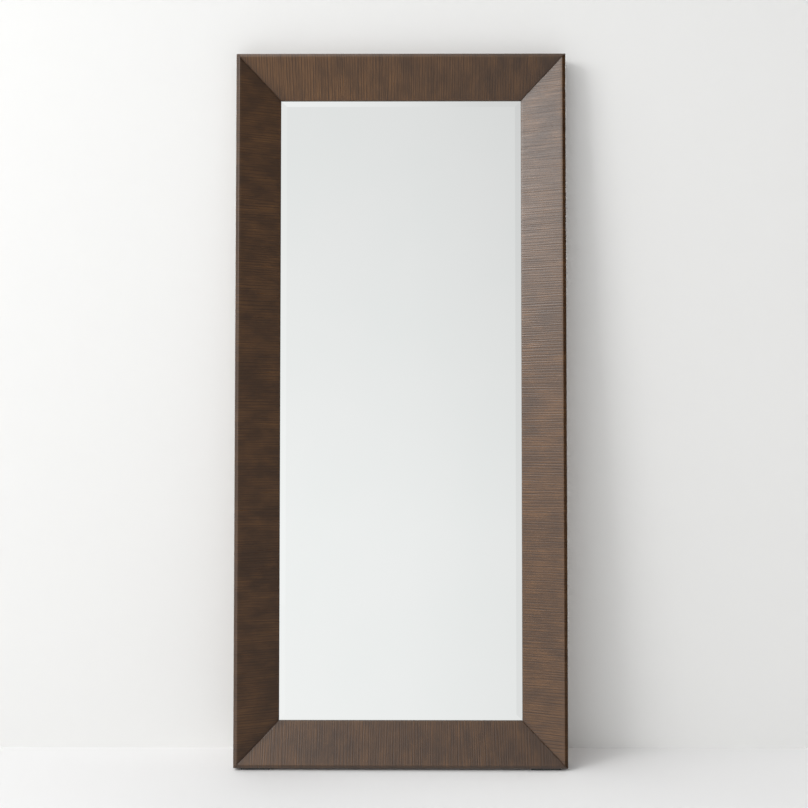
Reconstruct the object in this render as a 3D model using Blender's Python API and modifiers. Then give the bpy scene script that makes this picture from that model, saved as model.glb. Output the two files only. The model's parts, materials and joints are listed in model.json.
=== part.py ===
"""Leaning floor mirror: a mitred wooden frame around a bevelled mirror, propped against a wall.

The frame is modelled in its own upright coordinates and hung on one empty that leans it back:
  x runs to the right, seen from the front,
  z runs up the frame from its bottom edge,
  y is 0 on the frame's back face, negative towards the viewer and positive towards the wall.
Metres, +Z up. The soles of the feet stand on z = 0.
"""
import math

import bmesh
import bpy
from mathutils import Matrix, Vector

# ---------------------------------------------------------------- driving dimensions
FRAME_WIDTH = 0.914
FRAME_HEIGHT = 1.968
LEAN = math.radians(4.0)
GAP = 0.0003                    # air left between pieces that touch
WELD_DISTANCE = 0.00001         # points closer than this are one point
SMOOTH_ANGLE = math.radians(35.0)    # faces that meet at less are shaded as one round surface

# Moulding, measured across a member from its outer edge and up from the back face
MEMBER_WIDTH = 0.120
FRAME_DEPTH = 0.065             # back face to the ridge, the highest line of the moulding
RIDGE_INSET = 0.010             # outer edge to the ridge
LIP_DROP = 0.008                # how far the lip falls from the ridge to the outer side
RIDGE_RADIUS = 0.002
RIDGE_STEPS = 3
SIGHT_THICKNESS = 0.005         # thickness of the lip that covers the glass's edge

# Mirror glass and the board behind it
GLASS_THICKNESS = 0.005
GLASS_EDGE_THICKNESS = 0.0025
BEVEL_WIDTH = 0.025
GLASS_OVERLAP = 0.008           # glass hidden behind the sight lip
RABBET_PLAY = 0.003             # glass edge to the rabbet's wall
BOARD_THICKNESS = 0.006
BOARD_PLAY = 0.001              # board edge to the rabbet's wall
BLOCK_LENGTH = 0.060
BLOCK_SPACING = 0.360           # between the two setting blocks' middles

# Loose tongues glued into the mitres
TONGUE_THICKNESS = 0.004
TONGUE_WIDTH = 0.040
TONGUE_LENGTH = 0.060           # along the mitre line
TONGUE_DEPTH = 0.024            # back face to the tongue's middle
TONGUE_INSET = 0.058            # outer edge to the tongue's middle

# L-shaped steel plates across the mitres, on the back
PLATE_THICKNESS = 0.002
PLATE_LEG = 0.110
PLATE_LEG_WIDTH = 0.020
PLATE_CENTRE_LINE = 0.055       # outer edge to the middle of a leg
PLATE_SCREWS = (0.035, 0.095)   # along a leg, from the plate's outer corner

# Countersunk screws, and the pan-head screws that hold the turn buttons
SCREW_RADIUS = 0.0018
SCREW_HEAD_RADIUS = 0.0038
SCREW_HEAD_HEIGHT = 0.0017
SCREW_RIM = 0.0003              # straight edge of a countersunk head
SCREW_LENGTH = 0.016
SCREW_TIP = 0.003
SCREW_SIDES = 12
BORE_OVERRUN = 0.001            # how far a bore's cutter stands out of the surface it enters
PAN_HEAD_RADIUS = 0.0042
PAN_HEAD_HEIGHT = 0.0022
PAN_HEAD_RIM = 0.0006           # straight side under the dome
PAN_SCREW_LENGTH = 0.014

# Turn buttons that keep the board in
BUTTON_LENGTH = 0.032
BUTTON_WIDTH = 0.012
BUTTON_THICKNESS = 0.0015
BUTTON_PIVOT_INSET = 0.008      # from the button's outer end to its pivot
BUTTON_PIVOT_SETBACK = 0.009    # from the rabbet's wall to the pivot
BUTTONS_PER_STILE = 3
BUTTON_END_STEPS = 6

# Hanging straps and their rings
STRAP_DROP = 0.300              # top of the frame to the ring's axis
STRAP_WIDTH = 0.015
STRAP_THICKNESS = 0.0015
STRAP_LENGTH = 0.060            # ring's axis to the strap's lower end
STRAP_SCREWS = (0.034, 0.050)   # below the ring's axis
RING_WIRE_RADIUS = 0.0015
RING_INSIDE_WIDTH = 0.026
RING_DROP = 0.026               # axis to the middle of the bow's wire
RING_BOW_STEPS = 14
CURL_STEPS = 14

# Rubber feet and bumpers
FOOT_THICKNESS = 0.002          # at the frame's rear edge, where the wedge is thinnest
FOOT_LENGTH = 0.080
FOOT_MARGIN = 0.006             # kept clear at the front and back of the frame's bottom edge
FOOT_INSET = 0.060              # frame's side to the foot's middle
BUMPER_RADIUS = 0.013
BUMPER_STANDOFF = 0.008         # back face to the wall at the frame's top edge
BUMPER_INSET = 0.024            # frame's side and top edge to the bumper's middle
BUMPER_SIDES = 24

# ---------------------------------------------------------------- sizes that follow
GLASS_EDGE_SLOPE = (GLASS_THICKNESS - GLASS_EDGE_THICKNESS) / BEVEL_WIDTH
GLASS_AT_SIGHT = GLASS_EDGE_THICKNESS + GLASS_EDGE_SLOPE * min(GLASS_OVERLAP, BEVEL_WIDTH)
GLASS_BACK = BOARD_THICKNESS + GAP
RABBET_DEPTH = GLASS_BACK + GLASS_AT_SIGHT + GAP
RABBET_WALL = MEMBER_WIDTH - GLASS_OVERLAP - RABBET_PLAY
GLASS_MARGIN = MEMBER_WIDTH - GLASS_OVERLAP
BOARD_MARGIN = RABBET_WALL + BOARD_PLAY
PLATE_CORNER = PLATE_CENTRE_LINE - PLATE_LEG_WIDTH / 2
BUTTON_PIVOT = RABBET_WALL - BUTTON_PIVOT_SETBACK
CURL_INNER = RING_WIRE_RADIUS + GAP
CURL_OUTER = CURL_INNER + STRAP_THICKNESS
RING_AXIS_Y = GAP + CURL_OUTER
SOLE_OFFSET = FOOT_THICKNESS + GAP

CORNERS = {
    "bottom_left": (-FRAME_WIDTH / 2, 0.0, 0.0),
    "top_left": (-FRAME_WIDTH / 2, FRAME_HEIGHT, 90.0),
    "top_right": (FRAME_WIDTH / 2, FRAME_HEIGHT, 180.0),
    "bottom_right": (FRAME_WIDTH / 2, 0.0, -90.0),
}
MEMBERS = {
    "bottom_rail": (0.0, 0.0, 0.0, FRAME_WIDTH),
    "left_stile": (-FRAME_WIDTH / 2, FRAME_HEIGHT / 2, 90.0, FRAME_HEIGHT),
    "top_rail": (0.0, FRAME_HEIGHT, 180.0, FRAME_WIDTH),
    "right_stile": (FRAME_WIDTH / 2, FRAME_HEIGHT / 2, -90.0, FRAME_HEIGHT),
}
# The member along a corner's first leg, then the one along its second leg
CORNER_MEMBERS = {
    "bottom_left": ("bottom_rail", "left_stile"),
    "top_left": ("left_stile", "top_rail"),
    "top_right": ("top_rail", "right_stile"),
    "bottom_right": ("right_stile", "bottom_rail"),
}


# ---------------------------------------------------------------- scene and materials
def clear_scene():
    for old in list(bpy.data.objects):
        bpy.data.objects.remove(old, do_unlink=True)


def new_collection(name):
    collection = bpy.data.collections.new(name)
    bpy.context.scene.collection.children.link(collection)
    return collection


def new_material(name, colour, roughness, metallic=0.0):
    material = bpy.data.materials.new(name)
    material.use_nodes = True
    shader = material.node_tree.nodes["Principled BSDF"]
    shader.inputs["Base Color"].default_value = (*colour, 1.0)
    shader.inputs["Roughness"].default_value = roughness
    shader.inputs["Metallic"].default_value = metallic
    return material


def add_part(name, data, finish, location=(0, 0, 0), rotation=(0, 0, 0)):
    """Put a mesh or curve on the leaning frame as a named sub-part."""
    part = bpy.data.objects.new(name, data)
    part.location = location
    part.rotation_euler = rotation
    part.parent = leaning_frame
    part.data.materials.clear()
    part.data.materials.append(finish)
    parts.objects.link(part)
    return part


def cutters_of(piece):
    """Collection of what is cut out of a piece, all of it by one Boolean."""
    name = piece.name + "_cutters"
    if name not in bpy.data.collections:
        collection = bpy.data.collections.new(name)
        cutters.children.link(collection)
        boolean = piece.modifiers.new("cut", "BOOLEAN")
        boolean.operation = "DIFFERENCE"
        boolean.solver = "EXACT"
        boolean.operand_type = "COLLECTION"
        boolean.collection = collection
    return bpy.data.collections[name]


def add_cutter(name, data, pieces, location, rotation):
    """Hang a cutter on the leaning frame that takes its shape out of each of these pieces."""
    cutter = bpy.data.objects.new(name, data)
    cutter.location = location
    cutter.rotation_euler = rotation
    cutter.parent = leaning_frame
    cutter.hide_render = True
    cutter.display_type = "WIRE"
    for piece in pieces:
        cutters_of(piece).objects.link(cutter)


# ---------------------------------------------------------------- shape helpers
def mesh_from_bmesh(name, shape):
    """Mesh with its faces pointing out, shaded smooth over its rounds and sharp at its corners."""
    bmesh.ops.recalc_face_normals(shape, faces=shape.faces)
    mesh = bpy.data.meshes.new(name)
    shape.to_mesh(mesh)
    shape.free()
    mesh.shade_smooth()
    mesh.set_sharp_from_angle(angle=SMOOTH_ANGLE)
    return mesh


def box_mesh(name, size, centre=(0, 0, 0)):
    shape = bmesh.new()
    bmesh.ops.create_cube(shape, size=1.0)
    bmesh.ops.scale(shape, vec=Vector(size), verts=shape.verts)
    bmesh.ops.translate(shape, vec=Vector(centre), verts=shape.verts)
    return mesh_from_bmesh(name, shape)


def outline_curve(name, outlines, thickness):
    """Flat curve in its own XY plane with one closed loop for each outline, extruded both ways along Z."""
    curve = bpy.data.curves.new(name, "CURVE")
    curve.dimensions = "2D"
    curve.fill_mode = "BOTH"
    curve.extrude = thickness / 2
    for points in outlines:
        spline = curve.splines.new("POLY")
        spline.points.add(len(points) - 1)
        for target, (x, y) in zip(spline.points, points):
            target.co = (x, y, 0.0, 1.0)
        spline.use_cyclic_u = True
    return curve


def welded_mesh(name, holder):
    """Mesh of an object as its modifiers or curve settings make it, with loose points joined."""
    bpy.context.scene.collection.objects.link(holder)
    evaluated = holder.evaluated_get(bpy.context.evaluated_depsgraph_get())
    mesh = bpy.data.meshes.new_from_object(evaluated)
    bpy.data.objects.remove(holder, do_unlink=True)
    shape = bmesh.new()
    shape.from_mesh(mesh)
    bmesh.ops.remove_doubles(shape, verts=shape.verts, dist=WELD_DISTANCE)
    bpy.data.meshes.remove(mesh)
    return mesh_from_bmesh(name, shape)


def outline_mesh(name, outline, thickness):
    """Closed solid of one flat outline in the XY plane, half its thickness on each side."""
    return welded_mesh(name, bpy.data.objects.new(name, outline_curve(name, [outline], thickness)))


def slice_off(shape, point, normal):
    """Remove what lies on the normal's side of a plane and close the cut."""
    everything = shape.verts[:] + shape.edges[:] + shape.faces[:]
    result = bmesh.ops.bisect_plane(shape, geom=everything, dist=0.000001, plane_co=Vector(point),
                                    plane_no=Vector(normal), clear_outer=True)
    edges = [item for item in result["geom_cut"] if isinstance(item, bmesh.types.BMEdge)]
    bmesh.ops.contextual_create(shape, geom=edges)


def arc_points(centre, radius, start, end, steps):
    """Points on an arc, from the start angle to the end angle in radians."""
    angles = [start + (end - start) * step / steps for step in range(steps + 1)]
    return [(centre[0] + radius * math.cos(a), centre[1] + radius * math.sin(a)) for a in angles]


def rounded_corner(before, corner, after, radius, steps):
    """Arc that rounds the corner of an outline, touching both of its sides."""
    corner = Vector(corner)
    to_before = (Vector(before) - corner).normalized()
    to_after = (Vector(after) - corner).normalized()
    half_angle = to_before.angle(to_after) / 2
    tangent = radius / math.tan(half_angle)
    centre = corner + (to_before + to_after).normalized() * radius / math.sin(half_angle)
    first = corner + to_before * tangent - centre
    last = corner + to_after * tangent - centre
    start = math.atan2(first.y, first.x)
    turn = math.atan2(last.y, last.x) - start
    turn = math.remainder(turn, 2 * math.pi)
    return arc_points(centre, radius, start, start + turn, steps)


def turned_mesh(name, profile):
    """Closed round solid: a line of points at +X, spun about Z."""
    line = bpy.data.meshes.new(name + "_profile")
    points = [(radius, 0.0, height) for radius, height in profile]
    edges = [(index, index + 1) for index in range(len(points) - 1)]
    line.from_pydata(points, edges, [])
    holder = bpy.data.objects.new(name + "_profile", line)
    screw = holder.modifiers.new("turned", "SCREW")
    screw.axis = "Z"
    screw.angle = 2 * math.pi
    screw.steps = SCREW_SIDES
    screw.render_steps = SCREW_SIDES
    screw.use_merge_vertices = True
    screw.merge_threshold = WELD_DISTANCE
    return welded_mesh(name, holder)


# ---------------------------------------------------------------- places on the frame
def turned_about_y(origin_x, origin_z, degrees, along, inward, y=0.0):
    """Point given along a member or leg and inward from its outer edge, in the frame's coordinates."""
    place = Matrix.Rotation(math.radians(degrees), 3, "Y") @ Vector((along, y, inward))
    return place + Vector((origin_x, 0.0, origin_z))


def on_corner(corner, along, inward, y=0.0):
    origin_x, origin_z, degrees = CORNERS[corner]
    return turned_about_y(origin_x, origin_z, degrees, along, inward, y)


def on_member(member, along, inward, y=0.0):
    origin_x, origin_z, degrees, _ = MEMBERS[member]
    return turned_about_y(origin_x, origin_z, degrees, along, inward, y)


BACKWARDS = (math.radians(-90), 0.0, 0.0)       # turns a piece's own +Z to point away from the back


# ---------------------------------------------------------------- frame members
def moulding_outline():
    """Section of the moulding: distance in from the outer edge, height above the back face."""
    lip = (0.0, FRAME_DEPTH - LIP_DROP)
    ridge = (RIDGE_INSET, FRAME_DEPTH)
    sight = (MEMBER_WIDTH, RABBET_DEPTH + SIGHT_THICKNESS)
    return [(0.0, 0.0), lip,
            *rounded_corner(lip, ridge, sight, RIDGE_RADIUS, RIDGE_STEPS),
            sight, (MEMBER_WIDTH, RABBET_DEPTH), (RABBET_WALL, RABBET_DEPTH), (RABBET_WALL, 0.0)]


def member_mesh(name, length):
    """Moulding of one length with both ends mitred, lying along its own x and rising inward along z."""
    straight = outline_mesh(name, moulding_outline(), length)
    shape = bmesh.new()
    shape.from_mesh(straight)
    bpy.data.meshes.remove(straight)
    # section x -> inward (z), section y -> height towards the viewer (-y), extrusion z -> along (x)
    axes = Matrix(((0, 0, 1), (0, -1, 0), (1, 0, 0)))
    bmesh.ops.transform(shape, matrix=axes.to_4x4(), verts=shape.verts)
    bmesh.ops.recalc_face_normals(shape, faces=shape.faces)
    for side in (-1, 1):
        normal = Vector((side, 0, 1)).normalized()
        slice_off(shape, Vector((side * length / 2, 0, 0)) - normal * GAP / 2, normal)
    return mesh_from_bmesh(name, shape)


def build_members():
    return {name: add_part(name, member_mesh(name, length), veneer,
                           (origin_x, 0.0, origin_z), (0.0, math.radians(degrees), 0.0))
            for name, (origin_x, origin_z, degrees, length) in MEMBERS.items()}


def build_tongues(members):
    """Loose tongue across each mitre, in a pocket cut in both members."""
    size = (TONGUE_WIDTH, TONGUE_THICKNESS, TONGUE_LENGTH)
    pocket = tuple(side + 2 * GAP for side in size)
    for corner, (_, _, degrees) in CORNERS.items():
        place = on_corner(corner, TONGUE_INSET, TONGUE_INSET, -TONGUE_DEPTH)
        turned = (0.0, math.radians(degrees + 45), 0.0)
        add_part(corner + "_mitre_tongue", box_mesh("mitre_tongue", size), beech, place, turned)
        joined = [members[member] for member in CORNER_MEMBERS[corner]]
        add_cutter(corner + "_pocket", box_mesh("tongue_pocket", pocket), joined, place, turned)


# ---------------------------------------------------------------- glass and board
def panel_size(margin):
    return FRAME_WIDTH - 2 * margin, FRAME_HEIGHT - 2 * margin


def build_glass():
    """Plate whose front edge is ground back to a thin rim all round."""
    width, height = panel_size(GLASS_MARGIN)
    shape = bmesh.new()
    bmesh.ops.create_cube(shape, size=1.0)
    bmesh.ops.scale(shape, vec=(width, GLASS_EDGE_THICKNESS, height), verts=shape.verts)
    bmesh.ops.translate(shape, vec=(0, -GLASS_EDGE_THICKNESS / 2, 0), verts=shape.verts)
    shape.normal_update()
    front = [face for face in shape.faces if face.normal.y < -0.5]
    bmesh.ops.inset_individual(shape, faces=front, thickness=BEVEL_WIDTH,
                               depth=GLASS_THICKNESS - GLASS_EDGE_THICKNESS, use_even_offset=True)
    place = (0.0, -GLASS_BACK, FRAME_HEIGHT / 2)
    add_part("mirror_glass", mesh_from_bmesh("mirror_glass", shape), silvered, place)


def build_board():
    width, height = panel_size(BOARD_MARGIN)
    mesh = box_mesh("backing_board", (width, BOARD_THICKNESS, height))
    add_part("backing_board", mesh, fibreboard, (0.0, -BOARD_THICKNESS / 2, FRAME_HEIGHT / 2))


def build_setting_blocks():
    """Two strips that carry the glass's lower edge in the bottom rail's rabbet."""
    height = RABBET_PLAY - 2 * GAP
    depth = RABBET_DEPTH - GLASS_BACK - GAP
    for side, direction in (("left", -1), ("right", 1)):
        place = (direction * BLOCK_SPACING / 2, -GLASS_BACK - depth / 2, RABBET_WALL + GAP + height / 2)
        mesh = box_mesh("setting_block", (BLOCK_LENGTH, depth, height))
        add_part(side + "_setting_block", mesh, rubber, place)


# ---------------------------------------------------------------- screws
def countersunk_profile():
    """Flat head flush at height 0, a cone under it, a straight shank and a pointed tip."""
    return [(0.0, 0.0), (SCREW_HEAD_RADIUS, 0.0), (SCREW_HEAD_RADIUS, -SCREW_RIM),
            (SCREW_RADIUS, -SCREW_HEAD_HEIGHT), (SCREW_RADIUS, SCREW_TIP - SCREW_LENGTH),
            (0.0, -SCREW_LENGTH)]


def countersunk_bore_profile():
    """The countersunk screw grown by the gap, and open above its head."""
    head = SCREW_HEAD_RADIUS + GAP
    shank = SCREW_RADIUS + GAP
    return [(0.0, BORE_OVERRUN), (head, BORE_OVERRUN), (head, -SCREW_RIM), (shank, -SCREW_HEAD_HEIGHT),
            (shank, SCREW_TIP - SCREW_LENGTH), (0.0, -SCREW_LENGTH - 2 * GAP)]


def pan_profile():
    """Low domed head above height 0, a straight shank and a pointed tip."""
    dome_height = PAN_HEAD_HEIGHT - PAN_HEAD_RIM
    dome = [(PAN_HEAD_RADIUS * math.cos(angle), PAN_HEAD_RIM + dome_height * math.sin(angle))
            for angle in (math.radians(60), math.radians(30), 0.0)]
    return [(0.0, PAN_HEAD_HEIGHT), *dome, (PAN_HEAD_RADIUS, 0.0), (SCREW_RADIUS, 0.0),
            (SCREW_RADIUS, SCREW_TIP - PAN_SCREW_LENGTH), (0.0, -PAN_SCREW_LENGTH)]


def pan_bore_profile():
    """The pan-head screw's shank grown by the gap, open above."""
    radius = SCREW_RADIUS + GAP
    return [(0.0, BORE_OVERRUN), (radius, BORE_OVERRUN), (radius, SCREW_TIP - PAN_SCREW_LENGTH),
            (0.0, -PAN_SCREW_LENGTH - 2 * GAP)]


def add_countersunk_screw(name, place, pieces):
    """Screw whose flush head is at the place given, with its bore cut in every piece it passes."""
    add_part(name, turned_mesh(name, countersunk_profile()), zinc, place, BACKWARDS)
    add_cutter(name + "_bore", turned_mesh(name + "_bore", countersunk_bore_profile()),
               pieces, place, BACKWARDS)


# ---------------------------------------------------------------- corner plates
def plate_outline():
    """L whose outer corner is the origin and whose legs run along +x and +y."""
    return [(0.0, 0.0), (PLATE_LEG, 0.0), (PLATE_LEG, PLATE_LEG_WIDTH),
            (PLATE_LEG_WIDTH, PLATE_LEG_WIDTH), (PLATE_LEG_WIDTH, PLATE_LEG), (0.0, PLATE_LEG)]


def plate_mesh():
    """The L laid on the back face: outline x along the first leg, outline y inward."""
    flat = outline_mesh("corner_plate", plate_outline(), PLATE_THICKNESS)
    axes = Matrix(((1, 0, 0), (0, 0, 1), (0, 1, 0)))
    flat.transform(axes.to_4x4())
    flat.flip_normals()
    return flat


def build_corner_plates(members):
    head_y = GAP + PLATE_THICKNESS
    for corner, (_, _, degrees) in CORNERS.items():
        place = on_corner(corner, PLATE_CORNER, PLATE_CORNER, GAP + PLATE_THICKNESS / 2)
        plate = add_part(corner + "_corner_plate", plate_mesh(), zinc, place,
                         (0.0, math.radians(degrees), 0.0))
        first_member, second_member = CORNER_MEMBERS[corner]
        number = 0
        for distance in PLATE_SCREWS:
            along = PLATE_CORNER + distance
            for member, spot in ((first_member, (along, PLATE_CENTRE_LINE)),
                                 (second_member, (PLATE_CENTRE_LINE, along))):
                number += 1
                add_countersunk_screw(f"{corner}_plate_screw_{number}",
                                      on_corner(corner, *spot, head_y), (plate, members[member]))


# ---------------------------------------------------------------- turn buttons
def button_curve(name):
    """Plate with round ends and a pivot hole at its origin, pointing along +y."""
    radius = BUTTON_WIDTH / 2
    low = radius - BUTTON_PIVOT_INSET
    high = BUTTON_LENGTH - BUTTON_PIVOT_INSET - radius
    outline = (arc_points((0.0, high), radius, 0.0, math.pi, BUTTON_END_STEPS)
               + arc_points((0.0, low), radius, math.pi, 2 * math.pi, BUTTON_END_STEPS))
    hole = arc_points((0.0, 0.0), SCREW_RADIUS + GAP, 0.0, 2 * math.pi, SCREW_SIDES)[:-1]
    return outline_curve(name, [outline, hole], BUTTON_THICKNESS)


def add_turn_button(name, member, along, members):
    """Button that reaches from its pivot on the frame over the board's edge."""
    degrees = MEMBERS[member][2]
    button_y = GAP + BUTTON_THICKNESS / 2
    # the button's own +z points away from the back and its +y points inward over the board
    facing = Matrix.Rotation(math.radians(degrees), 3, "Y") @ Matrix(((-1, 0, 0), (0, 0, 1), (0, 1, 0)))
    add_part(name, button_curve(name), zinc, on_member(member, along, BUTTON_PIVOT, button_y),
             facing.to_euler())
    seat_y = 2 * GAP + BUTTON_THICKNESS
    place = on_member(member, along, BUTTON_PIVOT, seat_y)
    add_part(name + "_screw", turned_mesh(name + "_screw", pan_profile()), zinc, place, BACKWARDS)
    add_cutter(name + "_bore", turned_mesh(name + "_bore", pan_bore_profile()),
               [members[member]], place, BACKWARDS)


def build_turn_buttons(members):
    sight_height = FRAME_HEIGHT - 2 * MEMBER_WIDTH
    step = sight_height / BUTTONS_PER_STILE
    add_turn_button("top_turn_button", "top_rail", 0.0, members)
    add_turn_button("bottom_turn_button", "bottom_rail", 0.0, members)
    for index in range(BUTTONS_PER_STILE):
        height = step * (index + 0.5) - sight_height / 2
        # each stile's own x axis runs down on the left and up on the right
        add_turn_button(f"left_turn_button_{index + 1}", "left_stile", -height, members)
        add_turn_button(f"right_turn_button_{index + 1}", "right_stile", height, members)


# ---------------------------------------------------------------- hanging straps and rings
def strap_outline():
    """Side view of the strap: x away from the back, y up, with the ring's axis at the origin.

    The flat tail lies on the back and its upper end curls over the ring's bar.
    """
    back = -CURL_OUTER
    tail = back + STRAP_THICKNESS
    # the curl leaves the tail on its wall side, goes over the top and closes down in front of the bar
    start = math.pi
    end = math.radians(-60)
    outer = arc_points((0.0, 0.0), CURL_OUTER, start, end, CURL_STEPS)
    inner = arc_points((0.0, 0.0), CURL_INNER, end, start, CURL_STEPS)
    return [(back, -STRAP_LENGTH), *outer, *inner, (tail, -STRAP_LENGTH)]


def strap_mesh(name):
    strap = outline_mesh(name, strap_outline(), STRAP_WIDTH)
    # outline x -> away from the back (y), outline y -> up (z), extrusion -> across (x)
    axes = Matrix(((0, 0, 1), (1, 0, 0), (0, 1, 0)))
    strap.transform(axes.to_4x4())
    return strap


def ring_curve(name):
    """D-shaped wire hanging from a straight bar along x, through its own origin."""
    curve = bpy.data.curves.new(name, "CURVE")
    curve.dimensions = "3D"
    curve.bevel_depth = RING_WIRE_RADIUS
    curve.bevel_resolution = 2
    half = RING_INSIDE_WIDTH / 2 + RING_WIRE_RADIUS
    shoulder = RING_DROP - half
    bow = arc_points((0.0, -shoulder), half, math.pi, 2 * math.pi, RING_BOW_STEPS)
    corner = 3 * RING_WIRE_RADIUS
    left = arc_points((corner - half, -corner), corner, math.pi / 2, math.pi, 3)
    right = arc_points((half - corner, -corner), corner, 0.0, math.pi / 2, 3)
    points = left + bow + right
    spline = curve.splines.new("POLY")
    spline.points.add(len(points) - 1)
    for target, (x, z) in zip(spline.points, points):
        target.co = (x, 0.0, z, 1.0)
    spline.use_cyclic_u = True
    return curve


def build_hangers(members):
    """Strap, its two screws and a ring that hangs plumb although the frame leans."""
    for side, direction in (("left", -1), ("right", 1)):
        across = direction * (FRAME_WIDTH - MEMBER_WIDTH) / 2
        axis_height = FRAME_HEIGHT - STRAP_DROP
        axis = (across, RING_AXIS_Y, axis_height)
        strap = add_part(side + "_hanger_strap", strap_mesh(side + "_hanger_strap"), zinc, axis)
        for number, below in enumerate(STRAP_SCREWS, start=1):
            add_countersunk_screw(f"{side}_hanger_screw_{number}",
                                  (across, GAP + STRAP_THICKNESS, axis_height - below),
                                  (strap, members[side + "_stile"]))
        add_part(side + "_hanging_ring", ring_curve(side + "_hanging_ring"), zinc, axis, (LEAN, 0.0, 0.0))


# ---------------------------------------------------------------- rubber feet and bumpers
def foot_outline():
    """Side view of a foot: its top lies on the frame's bottom edge and its sole lies on the floor."""
    front = FOOT_MARGIN - FRAME_DEPTH + LIP_DROP
    rear = -FOOT_MARGIN
    slope = math.tan(LEAN)
    return [(front, -GAP), (front, front * slope - SOLE_OFFSET),
            (rear, rear * slope - SOLE_OFFSET), (rear, -GAP)]


def build_feet():
    axes = Matrix(((0, 0, 1), (1, 0, 0), (0, 1, 0)))
    for side, direction in (("left", -1), ("right", 1)):
        name = side + "_foot"
        mesh = outline_mesh(name, foot_outline(), FOOT_LENGTH)
        mesh.transform(axes.to_4x4())
        add_part(name, mesh, rubber, (direction * (FRAME_WIDTH / 2 - FOOT_INSET), 0.0, 0.0))


def build_bumpers():
    """Rubber discs on the back's top corners, cut off level with the wall."""
    slope = math.tan(LEAN)
    longest = BUMPER_STANDOFF + (BUMPER_INSET + BUMPER_RADIUS) * slope + 0.002
    for side, direction in (("left", -1), ("right", 1)):
        name = side + "_bumper"
        shape = bmesh.new()
        bmesh.ops.create_cone(shape, cap_ends=True, segments=BUMPER_SIDES, radius1=BUMPER_RADIUS,
                              radius2=BUMPER_RADIUS, depth=longest)
        bmesh.ops.rotate(shape, matrix=Matrix.Rotation(math.radians(-90), 3, "X"), verts=shape.verts)
        bmesh.ops.translate(shape, vec=(0, longest / 2, 0), verts=shape.verts)
        wall_point = (0.0, BUMPER_STANDOFF - GAP, BUMPER_INSET)
        slice_off(shape, wall_point, (0.0, math.cos(LEAN), math.sin(LEAN)))
        place = (direction * (FRAME_WIDTH / 2 - BUMPER_INSET), GAP, FRAME_HEIGHT - BUMPER_INSET)
        add_part(name, mesh_from_bmesh(name, shape), rubber, place)


def leaning_place():
    """Soles on the floor, and as far from the origin to the ridge as from the origin to the wall."""
    front = min(inward * math.sin(LEAN) - height * math.cos(LEAN) for inward, height in moulding_outline())
    wall = BUMPER_STANDOFF * math.cos(LEAN) + FRAME_HEIGHT * math.sin(LEAN)
    return (0.0, -(front + wall) / 2, SOLE_OFFSET * math.cos(LEAN))


# ---------------------------------------------------------------- build
clear_scene()
parts = new_collection("leaning_floor_mirror")
cutters = new_collection("cutters")

veneer = new_material("dark_veneer", (0.085, 0.050, 0.032), 0.45)
beech = new_material("beech", (0.55, 0.38, 0.24), 0.60)
silvered = new_material("silvered_glass", (0.86, 0.89, 0.88), 0.02, 1.0)
fibreboard = new_material("fibreboard", (0.30, 0.20, 0.12), 0.80)
zinc = new_material("zinc_plated_steel", (0.62, 0.62, 0.60), 0.35, 1.0)
rubber = new_material("black_rubber", (0.03, 0.03, 0.03), 0.75)

leaning_frame = bpy.data.objects.new("leaning_frame", None)
leaning_frame.location = leaning_place()
leaning_frame.rotation_euler = (-LEAN, 0.0, 0.0)
parts.objects.link(leaning_frame)

frame_members = build_members()
build_tongues(frame_members)
build_glass()
build_board()
build_setting_blocks()
build_corner_plates(frame_members)
build_turn_buttons(frame_members)
build_hangers(frame_members)
build_feet()
build_bumpers()
bpy.context.view_layer.update()
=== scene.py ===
# %% [markdown]
# # A leaning floor mirror
# A tall bevelled mirror in a wide, mitred frame of dark veneer, leaning on a wall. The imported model
# gives every place and size. This lesson makes the surfaces that a person sees and their finishes.
# Each step says what the piece is, how it could be made, and why it is made this way.

# %% Load the fixed frame
import json
import math

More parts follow.
